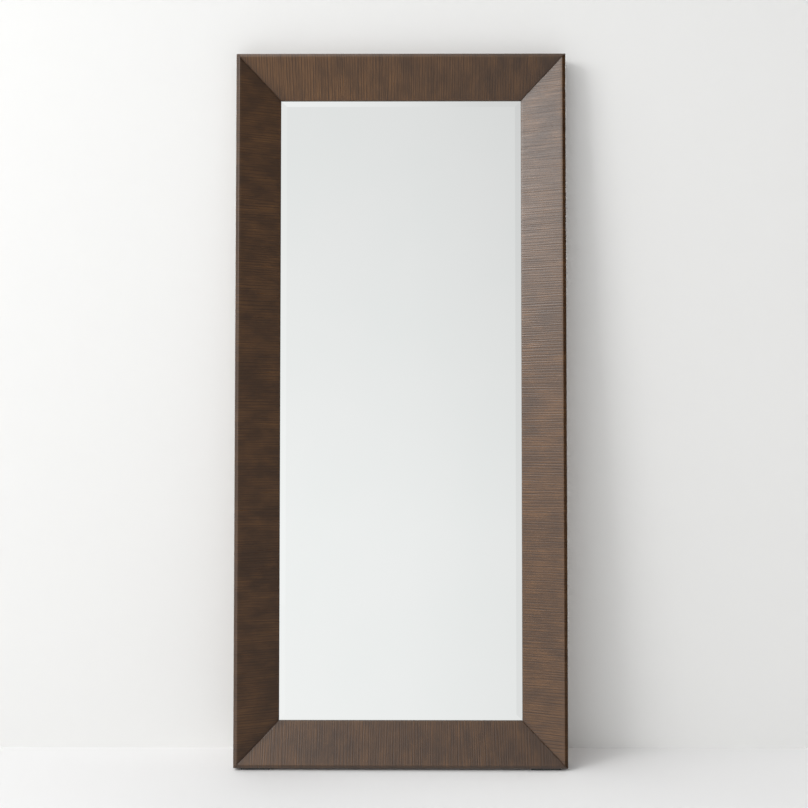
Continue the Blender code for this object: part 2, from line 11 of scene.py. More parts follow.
import bmesh
import bpy
import numpy as np
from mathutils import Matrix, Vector

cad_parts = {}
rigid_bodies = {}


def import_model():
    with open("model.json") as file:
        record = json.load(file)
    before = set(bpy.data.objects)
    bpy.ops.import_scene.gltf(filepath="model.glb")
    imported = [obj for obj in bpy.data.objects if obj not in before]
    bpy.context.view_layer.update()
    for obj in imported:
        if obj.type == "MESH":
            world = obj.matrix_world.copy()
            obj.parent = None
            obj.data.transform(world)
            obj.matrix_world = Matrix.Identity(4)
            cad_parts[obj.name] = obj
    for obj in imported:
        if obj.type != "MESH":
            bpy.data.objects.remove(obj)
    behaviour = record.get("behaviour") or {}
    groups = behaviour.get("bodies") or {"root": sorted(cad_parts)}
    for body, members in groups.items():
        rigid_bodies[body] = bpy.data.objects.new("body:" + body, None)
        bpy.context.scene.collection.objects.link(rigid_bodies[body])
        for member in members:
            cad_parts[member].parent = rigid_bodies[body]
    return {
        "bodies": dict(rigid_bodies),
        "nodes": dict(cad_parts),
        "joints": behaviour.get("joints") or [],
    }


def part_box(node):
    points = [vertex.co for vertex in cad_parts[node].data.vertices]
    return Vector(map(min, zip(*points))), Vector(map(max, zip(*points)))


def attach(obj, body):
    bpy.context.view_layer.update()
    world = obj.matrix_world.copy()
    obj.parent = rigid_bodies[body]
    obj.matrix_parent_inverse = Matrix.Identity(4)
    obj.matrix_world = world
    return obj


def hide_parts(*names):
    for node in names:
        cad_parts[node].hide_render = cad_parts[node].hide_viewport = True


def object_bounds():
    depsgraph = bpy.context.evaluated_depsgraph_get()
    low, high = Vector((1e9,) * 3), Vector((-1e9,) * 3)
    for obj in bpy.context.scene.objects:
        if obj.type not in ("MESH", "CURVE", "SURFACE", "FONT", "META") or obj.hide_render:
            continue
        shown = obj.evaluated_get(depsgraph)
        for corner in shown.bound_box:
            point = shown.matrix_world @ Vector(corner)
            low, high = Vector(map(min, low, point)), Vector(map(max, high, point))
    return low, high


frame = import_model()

cad_box = [list(corner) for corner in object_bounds()]
print("the packed model's box:", cad_box)

# %% [markdown]
# ## Measuring along the frame
# The whole mirror leans back, so a box in the room's axes says little about a moulding. A turn button
# pivots on a screw that stands square to the back, so that joint's axis gives the lean. The model's points
# are stood upright by it, measured there, and everything new is built upright and then leaned.

# %% The lean, and boxes along the frame's own axes
JOINTS = {joint["name"]: joint for joint in frame["joints"]}
BACKWARD = JOINTS["top_turn_button_spin"]["axis"]
LEAN = math.atan2(-BACKWARD[2], BACKWARD[1])


def turned_about_x(points, angle):
    """Points turned about the x axis: y cos - z sin, and y sin + z cos."""
    x, y, z = np.moveaxis(np.asarray(points, float), -1, 0)
    return np.stack([x, y * math.cos(angle) - z * math.sin(angle),
                     y * math.sin(angle) + z * math.cos(angle)], axis=-1)


def leaned(points):
    """Upright points, leaned back as the mirror stands."""
    return turned_about_x(points, -LEAN)


def node_points(name):
    """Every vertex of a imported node, as an array of rows."""
    mesh = frame["nodes"][name].data
    points = np.empty(len(mesh.vertices) * 3)
    mesh.vertices.foreach_get("co", points)
    return points.reshape(-1, 3)


def upright_box(name):
    """Lowest and highest corner of a node along the frame's own axes."""
    points = turned_about_x(node_points(name), LEAN)
    return points.min(axis=0), points.max(axis=0)


bottom_low, bottom_high = upright_box("bottom_rail")
LEFT, RIGHT = upright_box("left_stile")[0][0], upright_box("right_stile")[1][0]
BOTTOM, TOP = bottom_low[2], upright_box("top_rail")[1][2]
BACK = bottom_high[1]
FRAME_DEPTH = BACK - bottom_low[1]
MEMBER_WIDTH = bottom_high[2] - bottom_low[2]
WIDTH, HEIGHT = RIGHT - LEFT, TOP - BOTTOM
print(f"frame {WIDTH:.3f} x {HEIGHT:.3f} x {FRAME_DEPTH:.3f} m, leaning {math.degrees(LEAN):.2f} degrees")

# %% [markdown]
# ## One way to make every surface
# Each new piece is a grid of points, worked out as one array: rows run round or across the piece, columns
# along it. Points that fall together, at a pole, a seam or a mitre, become one vertex, and the
# faces that this flattens are dropped. If the enclosed volume comes out negative, the faces are turned
# round, so every piece faces outwards whatever way its formula ran.

# %% Grid of points to a closed mesh
MERGE = 1e-6                        # points that round to the same multiple of this become one


def add_object(name, mesh):
    """Object at the origin that shows the mesh."""
    piece = bpy.data.objects.new(name, mesh)
    bpy.context.scene.collection.objects.link(piece)
    return piece


def signed_volume(points, triangles):
    """A sixth of the sum, over the triangles, of each first corner dotted with the cross of the others."""
    a, b, c = (points[triangles[:, corner]] for corner in range(3))
    return float(np.einsum("ij,ij->i", a, np.cross(b, c)).sum() / 6)


def surface(name, grid, close_rows=True, close_columns=False, caps=False, uv=None, fields=None,
            sharp_degrees=40.0):
    """Mesh object from points in rows and columns.

    Every cell of the grid gives two triangles. A cap closes each end of the columns with one flat face.
    uv holds two numbers for each grid point, and fields holds one number for each grid point by name.
    """
    if close_rows:
        grid = np.concatenate([grid, grid[:1]], axis=0)
    if close_columns:
        grid = np.concatenate([grid, grid[:, :1]], axis=1)
    rows, columns, _ = grid.shape
    flat = grid.reshape(-1, 3)
    _, first, merged = np.unique(np.round(flat / MERGE).astype(np.int64), axis=0,
                                 return_index=True, return_inverse=True)
    merged = merged.reshape(-1)
    points = flat[first]
    corner = np.arange(rows * columns).reshape(rows, columns)
    a, b, c, d = corner[:-1, :-1], corner[:-1, 1:], corner[1:, 1:], corner[1:, :-1]
    triangles = np.concatenate([np.stack([a, b, c], -1).reshape(-1, 3),
                                np.stack([a, c, d], -1).reshape(-1, 3)])
    faces = merged[triangles]
    whole = (faces[:, 0] != faces[:, 1]) & (faces[:, 1] != faces[:, 2]) & (faces[:, 2] != faces[:, 0])
    triangles, faces = triangles[whole], faces[whole]
    ends = [merged[corner[:-1, 0]], merged[corner[:-1, -1]][::-1]] if caps else []
    fans = [np.stack([np.full(len(end) - 2, end[0]), end[1:-1], end[2:]], -1) for end in ends]
    if signed_volume(points, np.concatenate([faces, *fans])) < 0:
        triangles, faces = triangles[:, ::-1], faces[:, ::-1]
        ends = [end[::-1] for end in ends]
    mesh = bpy.data.meshes.new(name)
    mesh.from_pydata(points.tolist(), [], faces.tolist() + [end.tolist() for end in ends])
    if uv is not None:
        layer = mesh.uv_layers.new(name="Across and along")
        values = np.zeros((len(mesh.loops), 2), np.float32)
        values[:triangles.size] = uv.reshape(-1, 2)[triangles.reshape(-1)]
        layer.data.foreach_set("uv", values.reshape(-1))
    for field, values in (fields or {}).items():
        attribute = mesh.attributes.new(field, "FLOAT", "POINT")
        attribute.data.foreach_set("value", values.reshape(-1)[first].astype(np.float32))
    mesh.shade_smooth()
    mesh.set_sharp_from_angle(angle=math.radians(sharp_degrees))
    return add_object(name, mesh)


print("grid points are merged within", MERGE, "m")

# %% [markdown]
# ## Uneven ribs from smooth noise
# The veneer is laid with its grain across each member, and it is ribbed: fine ridges about 7 mm apart that
# wander, fade out and run together. A plain sine would look machined. Two trains of ridges with slightly
# different spacing, each pushed about and faded by smooth noise, break up and merge as the real ones do.

# %% Smooth noise and rib heights
RIB_SPACINGS = (0.0055, 0.0079)     # metres between ridges in each train
RIB_WANDER = 0.012                  # how far noise pushes a whole ridge along the member
RIB_RIPPLE = 0.0011                 # how far it strays from straight as it crosses
# cells of each noise, as (along the member, across it)
WANDER_CELL, RIPPLE_CELL, FADE_CELL = (0.045, 0.400), (0.009, 0.022), (0.007, 0.050)
FAINTEST, FADE_RANGE = 0.15, 1.2    # a faded train's strength, and what the noise adds to it
FULL_CREST = 1.5                    # the trains' sum that makes a ridge as high as it gets
TRAIN_SEEDS = 5                     # seeds set aside for each train
RIB_RELIEF = 0.00013                # half the height from groove to ridge


def eased(share):
    """Three shares squared less two cubed: 0 to 1 with level ends."""
    share = np.clip(share, 0.0, 1.0)
    return share * share * (3 - 2 * share)


def smooth_noise(u, v, cell, seed):
    """Random heights from 0 to 1 on a lattice with cells of that size, eased between its points."""
    across, up = u / cell[0], v / cell[1]
    column, row = np.floor(across).astype(int), np.floor(up).astype(int)
    share_u, share_v = eased(across - column), eased(up - row)
    column -= column.min()
    row -= row.min()
    lattice = np.random.default_rng(seed).random((column.max() + 2, row.max() + 2))
    low = lattice[column, row] * (1 - share_u) + lattice[column + 1, row] * share_u
    high = lattice[column, row + 1] * (1 - share_u) + lattice[column + 1, row + 1] * share_u
    return low * (1 - share_v) + high * share_v


def rib_height(along, across, seed):
    """Rib height from -1 in a groove to 1 on a ridge: the sum of the trains' sines, each faded by noise."""
    height = np.zeros(np.broadcast(along, across).shape)
    for train, spacing in enumerate(RIB_SPACINGS):
        first = seed + TRAIN_SEEDS * train
        wander = RIB_WANDER * (smooth_noise(along, across, WANDER_CELL, first) - 0.5)
        ripple = RIB_RIPPLE * (smooth_noise(along, across, RIPPLE_CELL, first + 1) - 0.5)
        strength = FAINTEST + FADE_RANGE * smooth_noise(along, across, FADE_CELL, first + 2)
        height += strength * np.sin(2 * math.pi * (along + wander + ripple) / spacing)
    return np.clip(height / FULL_CREST, -1.0, 1.0)


print("ribs", RIB_SPACINGS, "m apart and", 2 * RIB_RELIEF, "m high")

# %% [markdown]
# ## The moulding's section
# A member is a bar whose face slopes from a raised ridge near the outside down to the glass. Outside the
# ridge a narrow lip falls to the side. The section could be a list of points from a drawing, but only its
# corners matter: each corner is given with the radius that rounds it, and the arcs are worked out.

# %% Sizes of the section, as (inward, height) in metres
RIDGE_INSET, LIP_DROP = 0.010, 0.008
SIGHT_THICKNESS = 0.0042
GLASS_AT_SIGHT = 0.0041             # thickness of the bevelled glass where the member's lip covers it
GLASS_PLAY, BOARD_PLAY = 0.0003, 0.001      # gaps left in front of the glass and beside the board
RABBET_DEPTH = BACK - (upright_box("mirror_glass")[1][1] - GLASS_AT_SIGHT) + GLASS_PLAY
RABBET_WALL = upright_box("backing_board")[0][0] - LEFT - BOARD_PLAY
SIGHT_HEIGHT = RABBET_DEPTH + SIGHT_THICKNESS
# inward, height, radius, steps of the arc, longest stretch after it
SECTION_CORNERS = (
    (0.0, 0.0, 0.0008, 2, 0.012),
    (0.0, FRAME_DEPTH - LIP_DROP, 0.0022, 4, 0.004),
    (RIDGE_INSET, FRAME_DEPTH, 0.0020, 4, 0.0062),
    (MEMBER_WIDTH, SIGHT_HEIGHT, 0.0012, 3, 1.0),
    (MEMBER_WIDTH, RABBET_DEPTH, 0.0005, 1, 1.0),
    (RABBET_WALL, RABBET_DEPTH, 0.0003, 1, 1.0),
    (RABBET_WALL, 0.0, 0.0008, 2, 1.0),
)
print(f"the rabbet starts {RABBET_WALL * 1000:.1f} mm in and is {RABBET_DEPTH * 1000:.1f} mm deep")

# %% [markdown]
# ## Rounding the section's corners
# A corner is rounded by the arc that touches both of its sides. The show face is one long straight stretch,
# so it's divided evenly, to give the ribs enough points to lift.

# %% Rounded outline
def unit(vector):
    """Vector of length 1 in the same direction."""
    return vector / np.linalg.norm(vector)


def corner_arc(before, corner, after, radius, steps):
    """Arc that touches both sides of a corner.

    Its centre is on the corner's bisector, radius / sin(half angle) away, and it touches each side
    radius / tan(half angle) from the corner.
    """
    to_before, to_after = unit(before - corner), unit(after - corner)
    half = math.acos(float(to_before @ to_after)) / 2
    centre = corner + unit(to_before + to_after) * radius / math.sin(half)
    start = corner + to_before * radius / math.tan(half) - centre
    end = corner + to_after * radius / math.tan(half) - centre
    first = math.atan2(start[1], start[0])
    sweep = math.remainder(math.atan2(end[1], end[0]) - first, 2 * math.pi)
    angles = first + sweep * np.linspace(0, 1, steps + 1)
    return centre + radius * np.stack([np.cos(angles), np.sin(angles)], axis=-1)


def rounded_outline(corners):
    """Closed outline with every corner rounded and every long straight stretch divided evenly."""
    places = np.array([corner[:2] for corner in corners])
    arcs = [corner_arc(places[index - 1], places[index], places[(index + 1) % len(places)],
                       corners[index][2], corners[index][3]) for index in range(len(places))]
    runs = []
    for index, arc in enumerate(arcs):
        following = arcs[(index + 1) % len(arcs)][0]
        pieces = max(1, math.ceil(np.linalg.norm(following - arc[-1]) / corners[index][4]))
        shares = np.arange(1, pieces)[:, None] / pieces
        runs += [arc, arc[-1] + (following - arc[-1]) * shares]
    return np.concatenate(runs)


def outline_normals(outline):
    """Outward direction at each point of a closed outline that runs clockwise: the chord turned left."""
    chord = np.roll(outline, -1, axis=0) - np.roll(outline, 1, axis=0)
    chord /= np.linalg.norm(chord, axis=1, keepdims=True)
    return np.stack([-chord[:, 1], chord[:, 0]], axis=-1)


section = rounded_outline(SECTION_CORNERS)
section_normals = outline_normals(section)
print("points round the moulding's section:", len(section))

# %% [markdown]
# ## Where the four members lie
# Each member runs from one mitre to the next, and they follow each other round the frame. A member is given
# by the way it runs, the way the glass lies from it, half its length, the seed of its noise, and how warm
# and light its veneer is at its two ends: partly the leaf's own tone, partly painted light, lighter on the
# right stile and at the rails' left ends, where the window lamp falls.

# %% The four members
# name: (along direction, inward direction, half length, seed, how warm and light the veneer is at its start
# and its end)
# directions as (x, z)
MEMBERS = {
    "bottom_rail": ((1, 0), (0, 1), WIDTH / 2, 11, (0.45, 0.15)),
    "left_stile": ((0, -1), (1, 0), HEIGHT / 2, 23, (0.22, 0.16)),
    "top_rail": ((-1, 0), (0, -1), WIDTH / 2, 37, (0.08, 1.00)),
    "right_stile": ((0, 1), (-1, 0), HEIGHT / 2, 51, (0.66, 0.56)),
}
MIDDLE = np.array([(LEFT + RIGHT) / 2, (BOTTOM + TOP) / 2])
print("members:", ", ".join(MEMBERS), "round", MIDDLE)

# %% [markdown]
# ## Making a member
# The section is carried along the member, and cut at 45 degrees where it meets the next one. The ribs are
# straight across the member, so the columns of the grid stay square to it too, and each row simply stops
# at the mitre. The last column dips a little: it is the fine groove that a mitre shows, where the two
# veneers meet. The grid also carries what the finish needs to know: rib height, the edges' wear and painted
# highlight, and where the tone is darker.

# %% Members
COLUMN_STEP = 0.00115               # fine enough for about five points from ridge to ridge
MITRE_GAP = 0.0002                  # left free at each end of a member
MITRE_EASE = 0.0007                 # width and depth of the groove along a mitre
VENEER_FADE = (0.0006, 0.0024)      # heights above the hidden side between which the veneer takes over
HIDDEN_RISE = (SIGHT_HEIGHT - VENEER_FADE[1]) / MEMBER_WIDTH
EDGE_REACH = 0.0024                 # how far from an edge the veneer is lightened by wear and a painted highlight
LIP_BLEND = 0.002                   # over which the lip's darker tone starts
JOINT_REACH, JOINT_DARKENING = 0.012, 0.6       # reach and depth of the darkening towards a mitre
LIP_DARKENING = 0.3                     # the lip is a little darker than the face


def repeat_first(values):
    """A grid's values with its first row repeated as the last, to match a closed grid."""
    return np.concatenate([values, values[:1]], axis=0)


def member_grid(half_length, seed):
    """Along, inward and height of every grid point, with its distance round the section and its fields.

    A point stops at half the length less its inward distance, which is the 45 degree mitre.
    """
    inward, height = section[:, :1], section[:, 1:]
    distance = np.concatenate([[0.0], np.cumsum(np.linalg.norm(np.diff(section, axis=0), axis=1))])[:, None]
    above = height - HIDDEN_RISE * inward
    veneered = np.clip((above - VENEER_FADE[0]) / (VENEER_FADE[1] - VENEER_FADE[0]), 0, 1)
    limit = half_length - inward - MITRE_GAP
    along = np.arange(-half_length, half_length + COLUMN_STEP, COLUMN_STEP)[None, :]
    along = np.clip(along, -(limit - MITRE_EASE), limit - MITRE_EASE)
    along = np.concatenate([-limit, along, limit], axis=1)
    ribs = rib_height(along, distance + np.zeros_like(along), seed) * veneered
    lift = RIB_RELIEF * (ribs - 1.0)
    lift[:, [0, -1]] -= MITRE_EASE * veneered
    inward = inward + lift * section_normals[:, :1]
    height = height + lift * section_normals[:, 1:]
    along[:, -1:] = half_length - inward[:, -1:] - MITRE_GAP
    along[:, :1] = -(half_length - inward[:, :1] - MITRE_GAP)
    # the edges that wear and a painted highlight lighten: the ridge, the lip and the sight edge
    corner_places = np.array([corner[:2] for corner in SECTION_CORNERS[1:4]])
    gaps = np.linalg.norm(section[:, None, :] - corner_places[None], axis=-1).min(axis=1)
    edge = np.exp(-(gaps / EDGE_REACH) ** 2)[:, None] * np.ones_like(along)
    lip = np.clip((RIDGE_INSET - inward) / LIP_BLEND, 0, 1)
    # darker towards the mitres and on the lip
    joint = np.exp(-np.abs(limit - np.abs(along)) / JOINT_REACH)
    fields = {"rib": ribs * 0.5 + 0.5, "veneered": veneered + np.zeros_like(along), "edge": edge,
              "stain": np.maximum(JOINT_DARKENING * joint, LIP_DARKENING * lip)}
    return along, inward, height, distance, fields


def make_member(name):
    """The grid in place: along and inward follow the member's directions, and height comes off the back."""
    (along_x, along_z), (inward_x, inward_z), half_length, seed, warmth = MEMBERS[name]
    along, inward, height, distance, fields = member_grid(half_length, seed)
    outer = MIDDLE - np.array([inward_x, inward_z]) * np.array([WIDTH / 2, HEIGHT / 2])
    grid = np.stack([outer[0] + along * along_x + inward * inward_x, BACK - height,
                     outer[1] + along * along_z + inward * inward_z], axis=-1)
    perimeter = distance[-1, 0] + np.linalg.norm(section[0] - section[-1])
    across = np.concatenate([distance, [[perimeter]]]) + np.zeros((1, along.shape[1]))
    uv = np.stack([across, repeat_first(along) + seed], axis=-1)
    # the leaf's tone plus painted light: lighter on the right stile and towards the rails' left ends, where
    # the window lamp falls
    fields["warmth"] = np.interp(along, [-half_length, half_length], warmth)
    fields = {field: repeat_first(values) for field, values in fields.items()}
    return surface(name + "_moulding", leaned(grid), caps=True, uv=uv, fields=fields)


members = {name: make_member(name) for name in MEMBERS}
for piece in members.values():
    print(piece.name, len(piece.data.polygons), "faces")

# %% [markdown]
# ## The mirror
# The glass is one plate, ground back round its edge into a wide bevel that catches the light its own way.
# The silver is on the flat back, and glass bends light, so a real bevel reflects as though it sloped only
# about half as much. The front is the mirror here, so its bevel gets that smaller slope. Rounding any of it
# would bend the reflections: four corners are carried through a short section, and it is shaded flat.

# %% Bevelled glass
BEVEL_WIDTH = 0.025
BEVEL_FALL = 0.0013                 # half of what a real one falls
GLASS_ARRIS = 0.0003                # the small chamfer that takes the sharpness off a glass edge
FLAT_SHADED = 1.0                   # degrees: every crease of the glass stays sharp


def make_glass():
    """Rings of four corners: each is the plate's outline, drawn in by its inset and raised off the back."""
    low, high = upright_box("mirror_glass")
    thickness = high[1] - low[1]
    edge = thickness - BEVEL_FALL
    rings = ((GLASS_ARRIS, 0.0), (0.0, GLASS_ARRIS), (0.0, edge - GLASS_ARRIS), (GLASS_ARRIS, edge),
             (BEVEL_WIDTH, thickness))
    inset, raised = np.array(rings).T
    x = np.array([low[0], high[0], high[0], low[0]])[:, None] + np.outer([1, -1, -1, 1], inset)
    z = np.array([low[2], low[2], high[2], high[2]])[:, None] + np.outer([1, 1, -1, -1], inset)
    grid = np.stack([x, high[1] - raised + np.zeros_like(x), z], axis=-1)
    return surface("bevelled_mirror", leaned(grid), caps=True, sharp_degrees=FLAT_SHADED)


glass = make_glass()
print(glass.name, "has", len(glass.data.polygons), "faces")

# %% [markdown]
# ## Screws
# Flat-head screws hold the corner plates and the hanging straps; pan-head screws are the pivots of the
# turn buttons. A turned shape with a cross pressed into its head could be cut with a Boolean, but
# one height formula makes both: the head's height less the depth of the cross, over a polar grid.

# %% Screws with a cross recess
SCREW_ANGLES = np.linspace(0, 2 * math.pi, 56, endpoint=False)[:, None]
HEAD_RINGS = 16                     # circles of points on a head, enough to shape the cross
CROSS_REACH, CROSS_HALF_WIDTH, CROSS_DEPTH = 0.0023, 0.00055, 0.0011
CROSS_SLOPE = 0.0005                # width of the cross's sloping sides
HEAD_EASE = 0.0002                  # how far the rim of a head is rounded
SHANK_RADIUS, SHANK_TIP = 0.0018, 0.003
# height of the dome, then the rim's, the underside's and the tip's depth below it
FLAT_HEAD, PAN_HEAD = (0.0, 0.0003, 0.0017, 0.016), (0.0010, 0.0006, 0.0012, 0.0162)


def cross_depth(x, z):
    """Depth of the pressed cross: the deeper of two arms at each point.

    An arm falls off as the square root of what is left of its reach, and eases away over its sloping sides.
    """
    arms = []
    for lengthwise, sideways in ((x, z), (z, x)):
        taper = np.clip(1 - np.abs(lengthwise) / CROSS_REACH, 0, 1) ** 0.5
        arms.append(taper * eased((CROSS_HALF_WIDTH - np.abs(sideways)) / CROSS_SLOPE + 0.5))
    return CROSS_DEPTH * np.maximum(*arms)


def make_screw(name, shape, turn):
    """Screw on its node's axis.

    The head falls from its middle by the dome times the square of the share of the radius, less the cross.
    The rim, the cone or flat underside, the shank and its tip follow below.
    """
    dome, rim, underside, tip = shape
    low, high = upright_box(name)
    centre = (low + high) / 2
    radius = (high[0] - low[0]) / 2
    disc = np.linspace(0, radius - HEAD_EASE, HEAD_RINGS)
    x, z = disc * np.cos(SCREW_ANGLES), disc * np.sin(SCREW_ANGLES)
    cross = cross_depth(x * math.cos(turn) + z * math.sin(turn), z * math.cos(turn) - x * math.sin(turn))
    head = -dome * (disc / radius) ** 2 - cross
    below = -dome - np.array([HEAD_EASE, rim, underside, tip - SHANK_TIP, tip])
    radii = np.concatenate([disc, [radius, radius, SHANK_RADIUS, SHANK_RADIUS, 0.0]])
    heights = np.concatenate([head, below + np.zeros((len(SCREW_ANGLES), 1))], axis=1)
    grid = np.stack([centre[0] + radii * np.cos(SCREW_ANGLES), high[1] + heights,
                     centre[2] + radii * np.sin(SCREW_ANGLES)], axis=-1)
    return surface(name + "_steel", leaned(grid), sharp_degrees=35.0)


shapes = {name: FLAT_HEAD for name in sorted(frame["nodes"])
          if "plate_screw" in name or "hanger_screw" in name}
shapes.update({name.replace("_spin", "_screw"): PAN_HEAD for name in sorted(JOINTS)
               if name.endswith("_spin")})
turns = np.random.default_rng(4).uniform(0, math.pi / 2, len(shapes))
screws = {name: make_screw(name, shape, turn) for (name, shape), turn in zip(shapes.items(), turns)}
print(len(screws), "screws,", list(shapes.values()).count(PAN_HEAD), "of them with a pan head")

# %% [markdown]
# ## Turn buttons
# Eight small pressed plates swing over the board's edge to keep it in. The section through a plate's
# wall is carried round: from the pivot hole, over the face, round the outer edge and back underneath.
# A shallow swage along the middle, as such pressings have, makes each one stiff.

# %% Turn buttons
BUTTON_STEPS = 72
BUTTON_HOLE = 0.0022
HOLE_EASE = 0.0003                  # how far the edge of the hole is rounded
CURL_SHARE = 0.06                   # the rounded outer edge's share of the way from hole to outline
SWAGE_LIFT = 0.0004
SWAGE_ACROSS, SWAGE_ALONG = 0.28, 0.4       # its half width and half length, as shares of the plate's
SWAGE_START = 0.25                  # it starts this share of the way out from the hole


def stadium(angles, width, length, centre):
    """Outline with round ends: a circle of half the width, its halves moved apart by the straight length."""
    radius = width / 2
    shift = np.where(np.sin(angles) >= 0, 1.0, -1.0) * (length / 2 - radius)
    return radius * np.cos(angles), centre + shift + radius * np.sin(angles)


def make_button(name):
    """Plate between its round-ended outline and its pivot hole, with rounded edges and a raised middle."""
    low, high = upright_box(name)
    pivot = turned_about_x(JOINTS[name + "_spin"]["pos_m"], LEAN)
    size = high - low
    upright = size[2] > size[0]
    width, length = (size[0], size[2]) if upright else (size[2], size[0])
    middle = (low + high) / 2 - pivot
    offset = middle[2] if upright else middle[0]
    angles = (np.arange(BUTTON_STEPS) + 0.5) * 2 * math.pi / BUTTON_STEPS
    outer_a, outer_b = stadium(angles, width, length, offset)
    hole = np.arctan2(outer_b, outer_a)
    inner_a, inner_b = BUTTON_HOLE * np.cos(hole), BUTTON_HOLE * np.sin(hole)
    half = size[1] / 2
    curl = np.linspace(math.pi / 2, -math.pi / 2, 5)[1:]
    share = np.concatenate([[0.0, 0.02, 0.2, 0.4, 0.6, 0.8, 0.93],
                            1 - CURL_SHARE + CURL_SHARE * np.cos(curl), [0.02, 0.0]])
    lift = np.concatenate([[half - HOLE_EASE], np.full(6, half), half * np.sin(curl),
                           [-half, HOLE_EASE - half]])
    a = inner_a[:, None] + (outer_a - inner_a)[:, None] * share
    b = inner_b[:, None] + (outer_b - inner_b)[:, None] * share
    on_swage = (np.abs(b - offset) < length * SWAGE_ALONG) & (share > SWAGE_START) & (lift > 0)
    lift = lift + SWAGE_LIFT * eased(1 - np.abs(a) / (width * SWAGE_ACROSS)) * on_swage
    x, z = (a, b) if upright else (b, a)
    grid = np.stack([pivot[0] + x, pivot[1] + lift, pivot[2] + z], axis=-1)
    return surface(name + "_plate", leaned(grid), close_columns=True, sharp_degrees=30.0)


buttons = {name: make_button(name) for name in frame["bodies"] if name + "_spin" in JOINTS}
print("turn buttons:", ", ".join(sorted(buttons)))

# %% [markdown]
# ## Hanging rings
# A ring is round wire bent to a D, hanging from a straight bar through its strap. The wire is a circle
# carried along the bent line. It hangs plumb, so it isn't leaned.

# %% D-shaped rings
WIRE_RADIUS = 0.0015
WIRE_ANGLES = np.linspace(0, 2 * math.pi, 16, endpoint=False)
CORNER_RADIUS = 3 * WIRE_RADIUS


def d_path(half_width, drop, corner):
    """Closed line in (x, z): bar at the top, two rounded corners, and a half circle below."""
    bow = np.linspace(0, -math.pi, 36)
    down = np.linspace(math.pi / 2, 0, 8)
    right = np.stack([half_width - corner + corner * np.cos(down), corner * np.sin(down) - corner], -1)
    curve = np.stack([half_width * np.cos(bow), half_width - drop + half_width * np.sin(bow)], -1)
    left = right[::-1] * np.array([-1, 1])
    bar = np.linspace(left[-1], right[0], 14)[1:-1]
    return np.concatenate([right, curve, left, bar])


def make_ring(name):
    """Tube round a closed flat line: each point moves out along the line's normal and along y."""
    low, high = (np.array(corner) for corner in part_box(name))
    pivot = np.array(JOINTS[name[:-len("hanging_ring")] + "ring_swing"]["pos_m"])
    half_width = (high[0] - low[0]) / 2 - WIRE_RADIUS
    path = d_path(half_width, pivot[2] - low[2] - WIRE_RADIUS, CORNER_RADIUS)
    normal = outline_normals(path)
    out = WIRE_RADIUS * np.cos(WIRE_ANGLES)[None, :]
    side = WIRE_RADIUS * np.sin(WIRE_ANGLES)[None, :] + np.zeros((len(path), 1))
    grid = np.stack([pivot[0] + path[:, :1] + normal[:, :1] * out, pivot[1] + side,
                     pivot[2] + path[:, 1:] + normal[:, 1:] * out], axis=-1)
    return surface(name + "_wire", grid, close_columns=True, sharp_degrees=60.0)


rings = {name: make_ring(name) for name in ("left_hanging_ring", "right_hanging_ring")}
print("rings:", ", ".join(rings))

# %% [markdown]
# ## Bumpers
# A soft disc at each top corner keeps the frame off the wall. Its outer face is level with the
# wall, not with the leaning frame, so the height of each point of the disc follows the wall's slope.

# %% Bumpers
BUMPER_ANGLES = np.linspace(0, 2 * math.pi, 64, endpoint=False)[:, None]
RIM_FALL = 0.0013                   # how far the rounded rim falls from the face
BASE_EASE = 0.0004                  # how far the edge at the frame is rounded


def make_bumper(name):
    """Disc with a rounded rim and a shallow ring in its face, its height falling with the wall's slope."""
    low, high = upright_box(name)
    centre = (low + high) / 2
    radius = (high[0] - low[0]) / 2
    rim = np.linspace(0, math.pi / 2, 5)
    share = np.concatenate([[0, 0.3, 0.45, 0.5, 0.55, 0.6, 0.75], 0.9 + 0.1 * np.sin(rim), [1.0, 0.97, 0.0]])
    sunk = np.concatenate([[0, 0, 0.0001, 0.0004, 0.0004, 0.0001, 0], RIM_FALL * (1 - np.cos(rim))])
    z = centre[2] + radius * share * np.sin(BUMPER_ANGLES)
    y = high[1] - (z - low[2]) * math.tan(LEAN)
    y[:, :len(sunk)] -= sunk
    y[:, len(sunk):] = low[1] + np.array([BASE_EASE, 0.0, 0.0])
    grid = np.stack([centre[0] + radius * share * np.cos(BUMPER_ANGLES), y, z], axis=-1)
    return surface(name + "_rubber", leaned(grid), sharp_degrees=50.0)


bumpers = {name: make_bumper(name) for name in ("left_bumper", "right_bumper")}
print("bumpers:", ", ".join(bumpers))

# %% [markdown]
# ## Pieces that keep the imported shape
# The corner plates, straps and feet already have the right outline, holes and curl. Only
# their edges are too sharp, as no stamped or moulded edge is. Each is copied, its loose triangles are
# joined and its flat faces made whole, and a small Bevel rounds what is left.

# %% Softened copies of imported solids
SOFTENED = {"corner_plate": 0.00035, "hanger_strap": 0.00030, "foot": 0.0007, "backing_board": 0.0008}
FLAT_WITHIN, SMOOTH_WITHIN, ROUND_PAST = math.radians(0.5), math.radians(40), math.radians(50)


